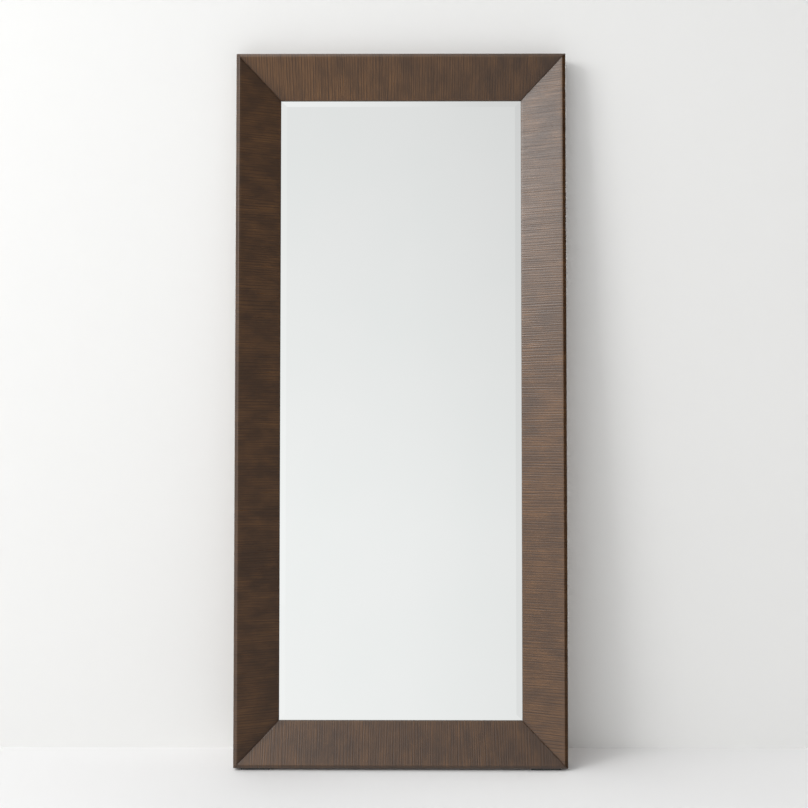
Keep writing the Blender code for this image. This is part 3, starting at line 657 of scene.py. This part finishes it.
def softened_copy(name, width):
    """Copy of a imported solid, merged and made of whole faces, with a live Bevel of that width."""
    shape = bmesh.new()
    shape.from_mesh(frame["nodes"][name].data)
    bmesh.ops.remove_doubles(shape, verts=shape.verts, dist=MERGE)
    bmesh.ops.dissolve_limit(shape, angle_limit=FLAT_WITHIN, verts=shape.verts, edges=shape.edges)
    mesh = bpy.data.meshes.new(name + "_softened")
    shape.to_mesh(mesh)
    shape.free()
    mesh.shade_smooth()
    mesh.set_sharp_from_angle(angle=SMOOTH_WITHIN)
    piece = add_object(name + "_softened", mesh)
    bevel = piece.modifiers.new("rounded edges", "BEVEL")
    bevel.width = width
    bevel.segments = 2
    bevel.limit_method = "ANGLE"
    bevel.angle_limit = ROUND_PAST
    return piece


softened = {name: softened_copy(name, width) for ending, width in SOFTENED.items()
            for name in sorted(frame["nodes"]) if name.endswith(ending)}
print("softened copies:", len(softened))

# %% [markdown]
# ## Writing shaders as code
# A shader is a tree of nodes. Each helper adds one kind of node, joins its inputs to numbers, colours or
# other nodes' outputs, and hands back the output that the next one needs, so a finish reads like a recipe.

# %% Helpers for node trees
def node(tree, kind, **settings):
    """New shader node with its settings."""
    made = tree.nodes.new("ShaderNode" + kind)
    for label, value in settings.items():
        setattr(made, label, value)
    return made


def join(tree, source, target):
    """Link an output to an input, or set the input when the source is a plain number or colour."""
    if isinstance(source, bpy.types.NodeSocket):
        tree.links.new(source, target)
    else:
        target.default_value = source


def maths(tree, operation, first, second=0.0, clamp=False):
    """Sum, product or other operation on two values, held between 0 and 1 if clamped."""
    made = node(tree, "Math", operation=operation, use_clamp=clamp)
    join(tree, first, made.inputs[0])
    join(tree, second, made.inputs[1])
    return made.outputs[0]


def noise(tree, vector, scale, detail=2.0, roughness=0.5):
    """Smooth random value, from 0 to 1, of the vector times the scale."""
    made = node(tree, "TexNoise")
    join(tree, vector, made.inputs["Vector"])
    made.inputs["Scale"].default_value = scale
    made.inputs["Detail"].default_value = detail
    made.inputs["Roughness"].default_value = roughness
    return made.outputs["Fac"]


def stretch(tree, vector, scale):
    """Vector times a scale for each axis."""
    made = node(tree, "VectorMath", operation="MULTIPLY")
    join(tree, vector, made.inputs[0])
    join(tree, scale, made.inputs[1])
    return made.outputs[0]


def remap(tree, value, low, high, to_low=0.0, to_high=1.0):
    """Value moved from one range to another, and held inside it."""
    made = node(tree, "MapRange")
    for label, number in (("From Min", low), ("From Max", high), ("To Min", to_low), ("To Max", to_high)):
        join(tree, number, made.inputs[label])
    join(tree, value, made.inputs["Value"])
    return made.outputs["Result"]


def mix_colour(tree, share, first, second):
    """First colour, with that share of the second one laid over it."""
    made = node(tree, "Mix", data_type="RGBA")
    join(tree, share, made.inputs[0])
    join(tree, first, made.inputs[6])
    join(tree, second, made.inputs[7])
    return made.outputs[2]


print("helpers:", [made.__name__ for made in (node, join, maths, noise, stretch, remap, mix_colour)])

# %% [markdown]
# ## Shared effects
# Wood on the members, the board and the hidden beech needs the same things: long fibres, broad patches of
# tone, and pores. Metal, rubber and glass need the same faint marks of handling and dust. Copied nodes would
# drift apart, so each effect is one node group with named inputs, placed with its own values.

# %% Wood grain and handling marks
def new_group(name, inputs, outputs):
    """Shader node group, from inputs as (name, kind, default) and outputs as (name, kind)."""
    group = bpy.data.node_groups.new(name, "ShaderNodeTree")
    for label, kind, default in inputs:
        socket = group.interface.new_socket(label, in_out="INPUT", socket_type=kind)
        if default is not None:
            socket.default_value = default
    for label, kind in outputs:
        group.interface.new_socket(label, in_out="OUTPUT", socket_type=kind)
    return group, group.nodes.new("NodeGroupInput"), group.nodes.new("NodeGroupOutput")


def make_grain_group():
    """Fibres: fine noise drawn out along one axis. Patches: broad noise, drawn out a little the same way."""
    group, given, result = new_group(
        "wood_grain",
        [("Vector", "NodeSocketVector", None), ("Fibre Scale", "NodeSocketVector", (900, 30, 900)),
         ("Patch Scale", "NodeSocketVector", (9, 4, 9))],
        [("Fibre", "NodeSocketFloat"), ("Patch", "NodeSocketFloat"), ("Pore", "NodeSocketFloat")])
    fibres = stretch(group, given.outputs["Vector"], given.outputs["Fibre Scale"])
    patches = stretch(group, given.outputs["Vector"], given.outputs["Patch Scale"])
    fibre = noise(group, fibres, 1.0, detail=4.0, roughness=0.6)
    patch = noise(group, patches, 1.0, detail=3.0, roughness=0.55)
    pore = noise(group, stretch(group, fibres, (1.9, 0.7, 1.9)), 1.0, detail=1.0)
    join(group, remap(group, fibre, 0.25, 0.75), result.inputs["Fibre"])
    join(group, remap(group, patch, 0.30, 0.70), result.inputs["Patch"])
    join(group, remap(group, pore, 0.62, 0.74), result.inputs["Pore"])
    return group


def make_marks_group():
    """Dust: broad soft noise. Marks: small faint smudges where hands and cloths have been."""
    group, given, result = new_group(
        "handling_marks", [("Vector", "NodeSocketVector", None), ("Size", "NodeSocketFloat", 0.05)],
        [("Dust", "NodeSocketFloat"), ("Marks", "NodeSocketFloat")])
    scaled = node(group, "VectorMath", operation="SCALE")
    join(group, given.outputs["Vector"], scaled.inputs[0])
    join(group, maths(group, "DIVIDE", 1.0, given.outputs["Size"]), scaled.inputs["Scale"])
    dust = noise(group, scaled.outputs[0], 1.0, detail=3.0, roughness=0.6)
    marks = noise(group, scaled.outputs[0], 5.0, detail=2.0, roughness=0.5)
    join(group, remap(group, dust, 0.35, 0.75), result.inputs["Dust"])
    join(group, remap(group, marks, 0.55, 0.8), result.inputs["Marks"])
    return group


GRAIN, MARKS = make_grain_group(), make_marks_group()
print("node groups:", GRAIN.name, "and", MARKS.name)

# %% [markdown]
# ## Starting a material
# Every finish starts the same way: a Principled shader with its plain colour, roughness and metal set on its
# own sockets, and then whatever varies over the surface joined to them. Patterns follow either the object's
# own coordinates or a field that its mesh carries.

# %% Helpers for materials
def place_group(tree, group, vector, **values):
    """The group as one node: its vector joined, and its other inputs set by their names in small letters."""
    made = node(tree, "Group", node_tree=group)
    join(tree, vector, made.inputs["Vector"])
    for label, value in values.items():
        made.inputs[label.replace("_", " ").title()].default_value = value
    return made


def new_material(name, colour, roughness, metallic=0.0):
    """Material with its node tree and its shader."""
    material = bpy.data.materials.new(name)
    material.use_nodes = True
    shader = material.node_tree.nodes["Principled BSDF"]
    shader.inputs["Base Color"].default_value = (*colour, 1)
    shader.inputs["Roughness"].default_value = roughness
    shader.inputs["Metallic"].default_value = metallic
    return material, material.node_tree, shader


def object_place(tree):
    """Place of each point, in the object's own coordinates."""
    return node(tree, "TexCoord").outputs["Object"]


def field(tree, name):
    """Value that the mesh carries under that name."""
    return node(tree, "Attribute", attribute_name=name).outputs["Fac"]


def bump(tree, height, strength, distance):
    """Normal tilted as though the surface had that height."""
    made = node(tree, "Bump")
    made.inputs["Strength"].default_value = strength
    made.inputs["Distance"].default_value = distance
    join(tree, height, made.inputs["Height"])
    return made.outputs["Normal"]


print("effects of handling:", ", ".join(MARKS.interface.items_tree.keys()))

# %% [markdown]
# ## Dark ribbed veneer
# The show faces are a satin lacquer over brown-stained veneer. Stain settles in the grooves and wears thin
# on the ridges, so the tone follows the same rib field that shaped the surface, and the fibres run across
# the member like the ribs. Each member's leaf of veneer is a little warmer or cooler than the next, and
# the warmer tone is also painted light: lighter on the right stile and at the rails' left ends, where the
# window lamp falls. The edges are lighter from wear and a painted highlight, and the tone is darker near
# the mitres and on the lip. The back and the rabbet aren't veneered: they are a sealed core, duller and
# plainer.

# %% Veneer
VENEER_DARK = (0.036, 0.017, 0.008, 1)
# cool and warm are the leaf's tones and also the ends of the painted light: cool for the shaded side, warm
# for the side the window lamp lights
VENEER_COOL_AND_SHADED = (0.062, 0.030, 0.013, 1)
VENEER_WARM_AND_LIT = (0.176, 0.083, 0.029, 1)
# lighter edge colour: wear, and a painted highlight along the ridge and edges
VENEER_WORN_AND_HIGHLIT = (0.130, 0.074, 0.037, 1)
CORE_BROWN = (0.060, 0.038, 0.026, 1)
CORE_PALE = (0.105, 0.072, 0.050, 1)


def make_veneer():
    """Cool to warm leaf with painted light, darkened in grooves, fibres, mitres and lip, edges lightened by
    wear and a painted highlight, plain core elsewhere.
    """
    material, tree, shader = new_material("dark_veneer", VENEER_COOL_AND_SHADED[:3], 0.3)
    across_and_along = node(tree, "UVMap", uv_map="Across and along").outputs["UV"]
    grain = place_group(tree, GRAIN, across_and_along, fibre_scale=(38, 900, 1), patch_scale=(14, 26, 1))
    streaks = place_group(tree, GRAIN, across_and_along, fibre_scale=(9, 310, 1), patch_scale=(4, 5, 1))
    core = place_group(tree, GRAIN, across_and_along, fibre_scale=(500, 22, 1), patch_scale=(30, 3, 1))
    small_patches = remap(tree, grain.outputs["Patch"], 0, 1, -0.35, 0.35)
    broad_patches = remap(tree, streaks.outputs["Patch"], 0, 1, -0.2, 0.2)
    # this field is partly the leaf's own tone and partly painted light from the window lamp on the left
    warmth = maths(tree, "ADD", field(tree, "warmth"), small_patches)
    warmth = maths(tree, "ADD", warmth, broad_patches, clamp=True)
    tone = mix_colour(tree, warmth, VENEER_COOL_AND_SHADED, VENEER_WARM_AND_LIT)
    tone = mix_colour(tree, remap(tree, field(tree, "rib"), 0.05, 0.60, 0.75, 0.0), tone, VENEER_DARK)
    tone = mix_colour(tree, remap(tree, streaks.outputs["Fibre"], 0.2, 0.7, 0.50, 0.0), tone, VENEER_DARK)
    tone = mix_colour(tree, remap(tree, grain.outputs["Fibre"], 0.15, 0.75, 0.35, 0.0), tone, VENEER_DARK)
    # edges lighter from wear, and a painted highlight along the ridge and edges
    rubbed_and_highlit = remap(tree, grain.outputs["Fibre"], 0.3, 0.9, 0.05, 0.35)
    tone = mix_colour(tree, maths(tree, "MULTIPLY", field(tree, "edge"), rubbed_and_highlit), tone, VENEER_WORN_AND_HIGHLIT)
    # darker near the mitres and on the lip
    tone = mix_colour(tree, field(tree, "stain"), tone, VENEER_DARK)
    plain = mix_colour(tree, core.outputs["Fibre"], CORE_BROWN, CORE_PALE)
    veneered = field(tree, "veneered")
    join(tree, mix_colour(tree, veneered, plain, tone), shader.inputs["Base Color"])
    gloss = remap(tree, streaks.outputs["Fibre"], 0.0, 1.0, 0.40, 0.25)
    dull = remap(tree, veneered, 0.0, 1.0, 0.32, 0.0)
    join(tree, maths(tree, "ADD", gloss, dull), shader.inputs["Roughness"])
    shader.inputs["Specular IOR Level"].default_value = 0.6
    join(tree, bump(tree, streaks.outputs["Fibre"], 0.35, 0.0003), shader.inputs["Normal"])
    return material


veneer = make_veneer()
print("veneer nodes:", len(veneer.node_tree.nodes))

# %% [markdown]
# ## Silvered glass
# A mirror is clear glass with silver behind it and paint behind that. What a person sees from the front is a
# nearly perfect reflection with a faint green-grey cast, so the front is a smooth metal, which also carries
# over to other programs. The ground rim shows the glass's own green, and the back is grey paint.

# %% Mirror finishes
FACING = 0.9                        # cosine past which a face counts as looking forward or back


def make_silver():
    """Nearly perfect metal with a faint cast that dust shifts, and smudges that blur it slightly."""
    material, tree, shader = new_material("silvered_glass", (0.9, 0.93, 0.92), 0.0, metallic=1.0)
    marks = place_group(tree, MARKS, object_place(tree), size=0.35)
    cast = mix_colour(tree, marks.outputs["Dust"], (0.925, 0.940, 0.932, 1), (0.905, 0.930, 0.920, 1))
    join(tree, cast, shader.inputs["Base Color"])
    join(tree, remap(tree, marks.outputs["Marks"], 0.0, 1.0, 0.0, 0.03), shader.inputs["Roughness"])
    return material


def make_glass_rim():
    """Green of glass seen edge on, dusty in places."""
    material, tree, shader = new_material("glass_rim", (0.25, 0.42, 0.36), 0.25)
    marks = place_group(tree, MARKS, object_place(tree), size=0.02)
    join(tree, mix_colour(tree, marks.outputs["Dust"], (0.20, 0.36, 0.30, 1), (0.42, 0.55, 0.50, 1)),
         shader.inputs["Base Color"])
    join(tree, remap(tree, marks.outputs["Marks"], 0.0, 1.0, 0.18, 0.4), shader.inputs["Roughness"])
    return material


def make_back_paint():
    """Grey paint over the silver, dusty and a little uneven."""
    material, tree, shader = new_material("mirror_back_paint", (0.16, 0.17, 0.18), 0.6)
    marks = place_group(tree, MARKS, object_place(tree), size=0.12)
    join(tree, mix_colour(tree, marks.outputs["Dust"], (0.14, 0.15, 0.16, 1), (0.22, 0.23, 0.24, 1)),
         shader.inputs["Base Color"])
    join(tree, bump(tree, marks.outputs["Marks"], 0.3, 0.0002), shader.inputs["Normal"])
    return material


def paint_glass():
    """Silver on the faces that look forward, paint on the one that looks back, and bare glass on the rim."""
    for material in (make_silver(), make_glass_rim(), make_back_paint()):
        glass.data.materials.append(material)
    normals = np.empty(len(glass.data.polygons) * 3)
    glass.data.polygons.foreach_get("normal", normals)
    backward = normals.reshape(-1, 3) @ np.array(BACKWARD)
    index = np.where(backward < -FACING, 0, np.where(backward > FACING, 2, 1))
    glass.data.polygons.foreach_set("material_index", index.astype(np.int32))


paint_glass()
print("mirror finishes:", [material.name for material in glass.data.materials])

# %% [markdown]
# ## Hardware, board, rubber and beech
# The hardware is zinc plated: a grey metal, mottled by the plating and smudged by handling. The board is
# pressed wood fibre, its back printed by the wire screen it was pressed on. The rubber is matt and dusty.
# The beech tongues are hidden inside the mitres, but they are real pieces, so they get a real wood finish.

# %% Other finishes
CRYSTAL_SCALE = 420                 # cells a metre in the plating's mottle
SCREEN_PITCH = 0.0024               # metres between wires of the press's screen


def make_zinc():
    """Metal toned by its crystals and dulled by dust, with rougher smudges."""
    material, tree, shader = new_material("zinc_plated_steel", (0.62, 0.62, 0.60), 0.35, metallic=1.0)
    place = object_place(tree)
    marks = place_group(tree, MARKS, place, size=0.012)
    cells = node(tree, "TexVoronoi")
    join(tree, place, cells.inputs["Vector"])
    cells.inputs["Scale"].default_value = CRYSTAL_SCALE
    tone = mix_colour(tree, remap(tree, cells.outputs["Distance"], 0.0, 0.8), (0.56, 0.56, 0.54, 1),
                      (0.42, 0.43, 0.44, 1))
    dusty = maths(tree, "MULTIPLY", marks.outputs["Dust"], 0.45)
    tone = mix_colour(tree, dusty, tone, (0.30, 0.29, 0.27, 1))
    join(tree, tone, shader.inputs["Base Color"])
    join(tree, remap(tree, marks.outputs["Marks"], 0.0, 1.0, 0.30, 0.52), shader.inputs["Roughness"])
    join(tree, bump(tree, cells.outputs["Distance"], 0.12, 0.0002), shader.inputs["Normal"])
    return material


def screen_print(tree, place):
    """Height of the screen's print: one set of fine waves along x times another up the board."""
    sides = node(tree, "SeparateXYZ")
    join(tree, place, sides.inputs[0])
    waves = [maths(tree, "SINE", maths(tree, "MULTIPLY", sides.outputs[axis], 2 * math.pi / SCREEN_PITCH))
             for axis in ("X", "Z")]
    return maths(tree, "MULTIPLY", *waves)


def make_fibreboard():
    """Brown fibres with darker patches, a little dust and the screen's print."""
    material, tree, shader = new_material("fibreboard", (0.27, 0.17, 0.10), 0.8)
    place = object_place(tree)
    grain = place_group(tree, GRAIN, place, fibre_scale=(260, 260, 260), patch_scale=(7, 7, 7))
    marks = place_group(tree, MARKS, place, size=0.16)
    tone = mix_colour(tree, grain.outputs["Fibre"], (0.200, 0.118, 0.066, 1), (0.300, 0.190, 0.112, 1))
    patchy = maths(tree, "MULTIPLY", grain.outputs["Patch"], 0.4)
    tone = mix_colour(tree, patchy, tone, (0.170, 0.100, 0.058, 1))
    dusty = maths(tree, "MULTIPLY", marks.outputs["Dust"], 0.10)
    tone = mix_colour(tree, dusty, tone, (0.45, 0.40, 0.34, 1))
    join(tree, tone, shader.inputs["Base Color"])
    join(tree, bump(tree, screen_print(tree, place), 0.5, 0.0003), shader.inputs["Normal"])
    return material


def make_rubber():
    """Matt black that holds pale dust."""
    material, tree, shader = new_material("black_rubber", (0.03, 0.03, 0.03), 0.75)
    marks = place_group(tree, MARKS, object_place(tree), size=0.015)
    tone = mix_colour(tree, maths(tree, "MULTIPLY", marks.outputs["Dust"], 0.5), (0.022, 0.022, 0.023, 1),
                      (0.085, 0.080, 0.074, 1))
    join(tree, tone, shader.inputs["Base Color"])
    join(tree, remap(tree, marks.outputs["Marks"], 0.0, 1.0, 0.7, 0.9), shader.inputs["Roughness"])
    return material


def make_beech():
    """Pale wood with fine darker pores."""
    material, tree, shader = new_material("beech", (0.55, 0.38, 0.24), 0.6)
    grain = place_group(tree, GRAIN, object_place(tree), fibre_scale=(900, 900, 90),
                        patch_scale=(60, 60, 20))
    tone = mix_colour(tree, grain.outputs["Fibre"], (0.47, 0.30, 0.18, 1), (0.60, 0.42, 0.27, 1))
    tone = mix_colour(tree, maths(tree, "MULTIPLY", grain.outputs["Pore"], 0.5), tone, (0.30, 0.18, 0.10, 1))
    join(tree, tone, shader.inputs["Base Color"])
    join(tree, bump(tree, grain.outputs["Fibre"], 0.2, 0.0002), shader.inputs["Normal"])
    return material


zinc, board_brown, rubber, beech = make_zinc(), make_fibreboard(), make_rubber(), make_beech()
print("finishes:", [material.name for material in bpy.data.materials if material.users])

# %% [markdown]
# ## Joining the looks to the model
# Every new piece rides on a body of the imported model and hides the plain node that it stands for. The
# tongues and setting blocks are right as they are and hidden inside, so they only get a finish.

# %% Ride, replace and finish
SOFTENED_FINISHES = {"corner_plate": ("zinc_plated_steel", zinc),
                     "hanger_strap": ("zinc_plated_steel", zinc),
                     "foot": ("rubber", rubber),
                     "backing_board": ("fibreboard", board_brown)}
HIDDEN_FINISHES = {"mitre_tongue": beech, "setting_block": rubber}


def give_finish(piece, material):
    """The material as the piece's only one."""
    piece.data.materials.clear()
    piece.data.materials.append(material)


def stand_in(piece, body, replaced):
    """Piece that moves with the body and hides the node of that name."""
    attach(piece, body)
    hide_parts(replaced)


for name, piece in members.items():
    give_finish(piece, veneer)
    stand_in(piece, "frame", name)
stand_in(glass, "frame", "mirror_glass")
for name, piece in screws.items():
    give_finish(piece, zinc)
    stand_in(piece, "frame", name)
for name, piece in {**buttons, **rings}.items():
    give_finish(piece, zinc)
    stand_in(piece, name, name)
for name, piece in bumpers.items():
    give_finish(piece, rubber)
    stand_in(piece, "frame", name)
for ending, (slot, material) in SOFTENED_FINISHES.items():
    for name in (name for name in softened if name.endswith(ending)):
        give_finish(softened[name], material)
        stand_in(softened[name], "frame", name)
for ending, material in HIDDEN_FINISHES.items():
    for name in (name for name in frame["nodes"] if name.endswith(ending)):
        give_finish(frame["nodes"][name], material)
print("pieces of zinc:", zinc.users, "of rubber:", rubber.users, "of beech:", beech.users)

# %% [markdown]
# ## Floor and wall
# The mirror stands on a pale floor and leans on a pale wall. The wall can be seen through from behind, so
# the back can be looked at. Neither shows in reflections: a real room's floor runs on past this one's edge,
# and the dome below gives the mirror a whole room instead.

# %% Floor and wall
WALL_Y = cad_box[1][1]
STAGE_REACH, WALL_TOP = 9, 6
FLOOR_PAINT, WALL_PAINT = (0.83, 0.83, 0.83), (0.805, 0.805, 0.795)


def make_stage_sheet(name, near, far, colour, one_sided):
    """Flat matt sheet between two opposite (y, z) edges, clear from behind if it is one-sided."""
    mesh = bpy.data.meshes.new(name)
    mesh.from_pydata([(-STAGE_REACH, *near), (STAGE_REACH, *near), (STAGE_REACH, *far),
                      (-STAGE_REACH, *far)], [], [(0, 1, 2, 3)])
    sheet = add_object(name, mesh)
    material, tree, shader = new_material(name + "_paint", colour, 0.85)
    shader.inputs["Specular IOR Level"].default_value = 0.1
    if one_sided:
        clear, choice = node(tree, "BsdfTransparent"), node(tree, "MixShader")
        join(tree, node(tree, "NewGeometry").outputs["Backfacing"], choice.inputs[0])
        join(tree, shader.outputs[0], choice.inputs[1])
        join(tree, clear.outputs[0], choice.inputs[2])
        join(tree, choice.outputs[0], tree.nodes["Material Output"].inputs["Surface"])
    mesh.materials.append(material)
    sheet.visible_glossy = False
    return sheet


make_stage_sheet("floor", (-STAGE_REACH, 0), (STAGE_REACH, 0), FLOOR_PAINT, one_sided=False)
make_stage_sheet("wall", (WALL_Y, 0), (WALL_Y, WALL_TOP), WALL_PAINT, one_sided=True)
print(f"the wall stands {WALL_Y:.4f} m behind the middle")

# %% [markdown]
# ## The room as a dome
# Most of what is seen in a mirror, and in lacquer, is the room behind the viewer. A modelled room would cost
# much and show little, so the surrounding dome stands for it: bright on the left, where its windows are,
# dim on the right, paler again at the ceiling on the left, and darker low down, where a person would see
# floor in the shade. The camera itself sees it as one even backdrop past the wall's edges.

# %% Dome
# Direction's x, from -1 at the left to 1 at the right, and the dome's radiance there
DOME_STOPS = ((-1.0, 0.80), (-0.75, 1.75), (-0.5, 1.40), (-0.25, 0.98), (0.0, 0.90), (0.22, 0.76),
              (0.5, 0.40), (1.0, 0.0))
OVERHEAD = -0.33                    # radiance added straight overhead
UNDER_SILL = 0.95                   # the most that it is low down
SILL = (-0.06, 0.05)                # the directions' z between which it grows fully bright
IN_SHADE = 0.55                     # the most that it is lower still, on the floor near the mirror
SHADE = (-0.34, -0.20)              # the directions' z between which that shade gives way
CEILING = 0.85                      # the ceiling's glow
CEILING_EDGE, CEILING_SIDE = (0.40, 0.52), (0.06, -0.16)    # where it grows to its full: by z, and by x
BACKDROP = 0.86                     # what the camera sees of the dome, past the wall's edges


def make_dome():
    """World whose radiance follows the direction's x through the stops.

    It is capped below the sill and again in the shade, and the ceiling's glow is added to it.
    """
    world = bpy.data.worlds.new("soft_room")
    world.use_nodes = True
    tree = world.node_tree
    sides = node(tree, "SeparateXYZ")
    join(tree, node(tree, "TexCoord").outputs["Generated"], sides.inputs[0])
    ramp = node(tree, "ValToRGB")
    brightest = max(radiance for _, radiance in DOME_STOPS)
    while len(ramp.color_ramp.elements) < len(DOME_STOPS):
        ramp.color_ramp.elements.new(0.5)
    for element, (direction, radiance) in zip(ramp.color_ramp.elements, DOME_STOPS):
        element.position = (direction + 1) / 2
        element.color = (radiance / brightest,) * 3 + (1,)
    join(tree, remap(tree, sides.outputs["X"], -1.0, 1.0), ramp.inputs["Fac"])
    sideways = maths(tree, "MULTIPLY", ramp.outputs["Color"], brightest)
    cap = maths(tree, "MINIMUM", remap(tree, sides.outputs["Z"], *SILL, UNDER_SILL, brightest),
                remap(tree, sides.outputs["Z"], *SHADE, IN_SHADE, brightest))
    upwards = maths(tree, "MULTIPLY", maths(tree, "MAXIMUM", sides.outputs["Z"], 0.0), OVERHEAD)
    room = maths(tree, "ADD", maths(tree, "MINIMUM", sideways, cap), upwards)
    glow = maths(tree, "MULTIPLY", remap(tree, sides.outputs["Z"], *CEILING_EDGE, 0.0, CEILING),
                 remap(tree, sides.outputs["X"], *CEILING_SIDE))
    room = maths(tree, "MAXIMUM", maths(tree, "ADD", room, glow), 0.0)
    seen = node(tree, "Mix", data_type="FLOAT")
    join(tree, node(tree, "LightPath").outputs["Is Camera Ray"], seen.inputs["Factor"])
    join(tree, room, seen.inputs["A"])
    seen.inputs["B"].default_value = BACKDROP
    join(tree, seen.outputs["Result"], tree.nodes["Background"].inputs["Strength"])
    tree.nodes["Background"].inputs["Color"].default_value = (1, 1, 1, 1)
    bpy.context.scene.world = world
    return world


dome = make_dome()
print("dome:", dome.name, "with", len(dome.node_tree.nodes), "nodes")

# %% [markdown]
# ## Window light and rear lamps
# One broad lamp on the left is the window: it gives the right stile its sheen, leaves the left one dark, and
# lays a long soft shadow on the wall. Two lamps behind light the back for views from there. They are linked
# to the mirror's own pieces, so that they neither light the room nor are blocked by the wall.

# %% Window light and rear lamps
KEY_AZIMUTH, KEY_ELEVATION, KEY_DISTANCE = math.radians(50), math.radians(25), 5.0
KEY_SIZE, KEY_POWER = 1.8, 79
REAR_ASIDE, REAR_BEHIND, REAR_UP = 2.2, 2.8, 2.4
REAR_SIZE, REAR_POWER = 1.6, 70
OBJECT_MIDDLE = (0.0, 0.0, HEIGHT / 2)


def add_square_lamp(name, place, size, power):
    """Square area light at a place, its -z axis turned to the middle of the mirror."""
    light = bpy.data.lights.new(name, "AREA")
    light.shape = "SQUARE"
    light.size = size
    light.energy = power
    lamp = bpy.data.objects.new(name, light)
    lamp.location = place
    lamp.rotation_euler = (Vector(OBJECT_MIDDLE) - Vector(place)).to_track_quat("-Z", "Y").to_euler()
    bpy.context.scene.collection.objects.link(lamp)
    return lamp


key_across = KEY_DISTANCE * math.cos(KEY_ELEVATION)
key_place = (-key_across * math.sin(KEY_AZIMUTH), -key_across * math.cos(KEY_AZIMUTH),
             HEIGHT / 2 + KEY_DISTANCE * math.sin(KEY_ELEVATION))
add_square_lamp("window_light", key_place, KEY_SIZE, KEY_POWER)

only_mirror = bpy.data.collections.new("lit_from_behind")
for piece in [*members.values(), *screws.values(), *buttons.values(), *rings.values(), *bumpers.values(),
              *softened.values()]:
    only_mirror.objects.link(piece)
for number, side in enumerate((-1, 1), start=1):
    rear_place = (side * REAR_ASIDE, REAR_BEHIND, REAR_UP)
    lamp = add_square_lamp(f"rear_lamp_{number}", rear_place, REAR_SIZE, REAR_POWER)
    lamp.light_linking.receiver_collection = only_mirror
    lamp.light_linking.blocker_collection = only_mirror

# %% [markdown]
# ## Camera
# The camera stands about three and a half metres in front of the mirror at chest height, almost square to
# it and tilted down a little. Its lens is somewhat long, so the frame's sides stay nearly upright.

# %% Camera
CAMERA_PLACE = (0.027, -3.441, 1.125)
CAMERA_PITCH, CAMERA_YAW = math.radians(-2.13), math.radians(0.30)
LENS, SENSOR_WIDTH = 55.3, 36.0     # millimetres
camera = bpy.data.objects.new("camera", bpy.data.cameras.new("camera"))
camera.data.lens = LENS
camera.data.sensor_width = SENSOR_WIDTH
camera.location = CAMERA_PLACE
camera.rotation_euler = (math.radians(90) + CAMERA_PITCH, 0.0, CAMERA_YAW)
bpy.context.scene.collection.objects.link(camera)
bpy.context.scene.camera = camera
bpy.context.scene.view_settings.view_transform = "Standard"
print("camera at", CAMERA_PLACE, "with a", LENS, "mm lens")
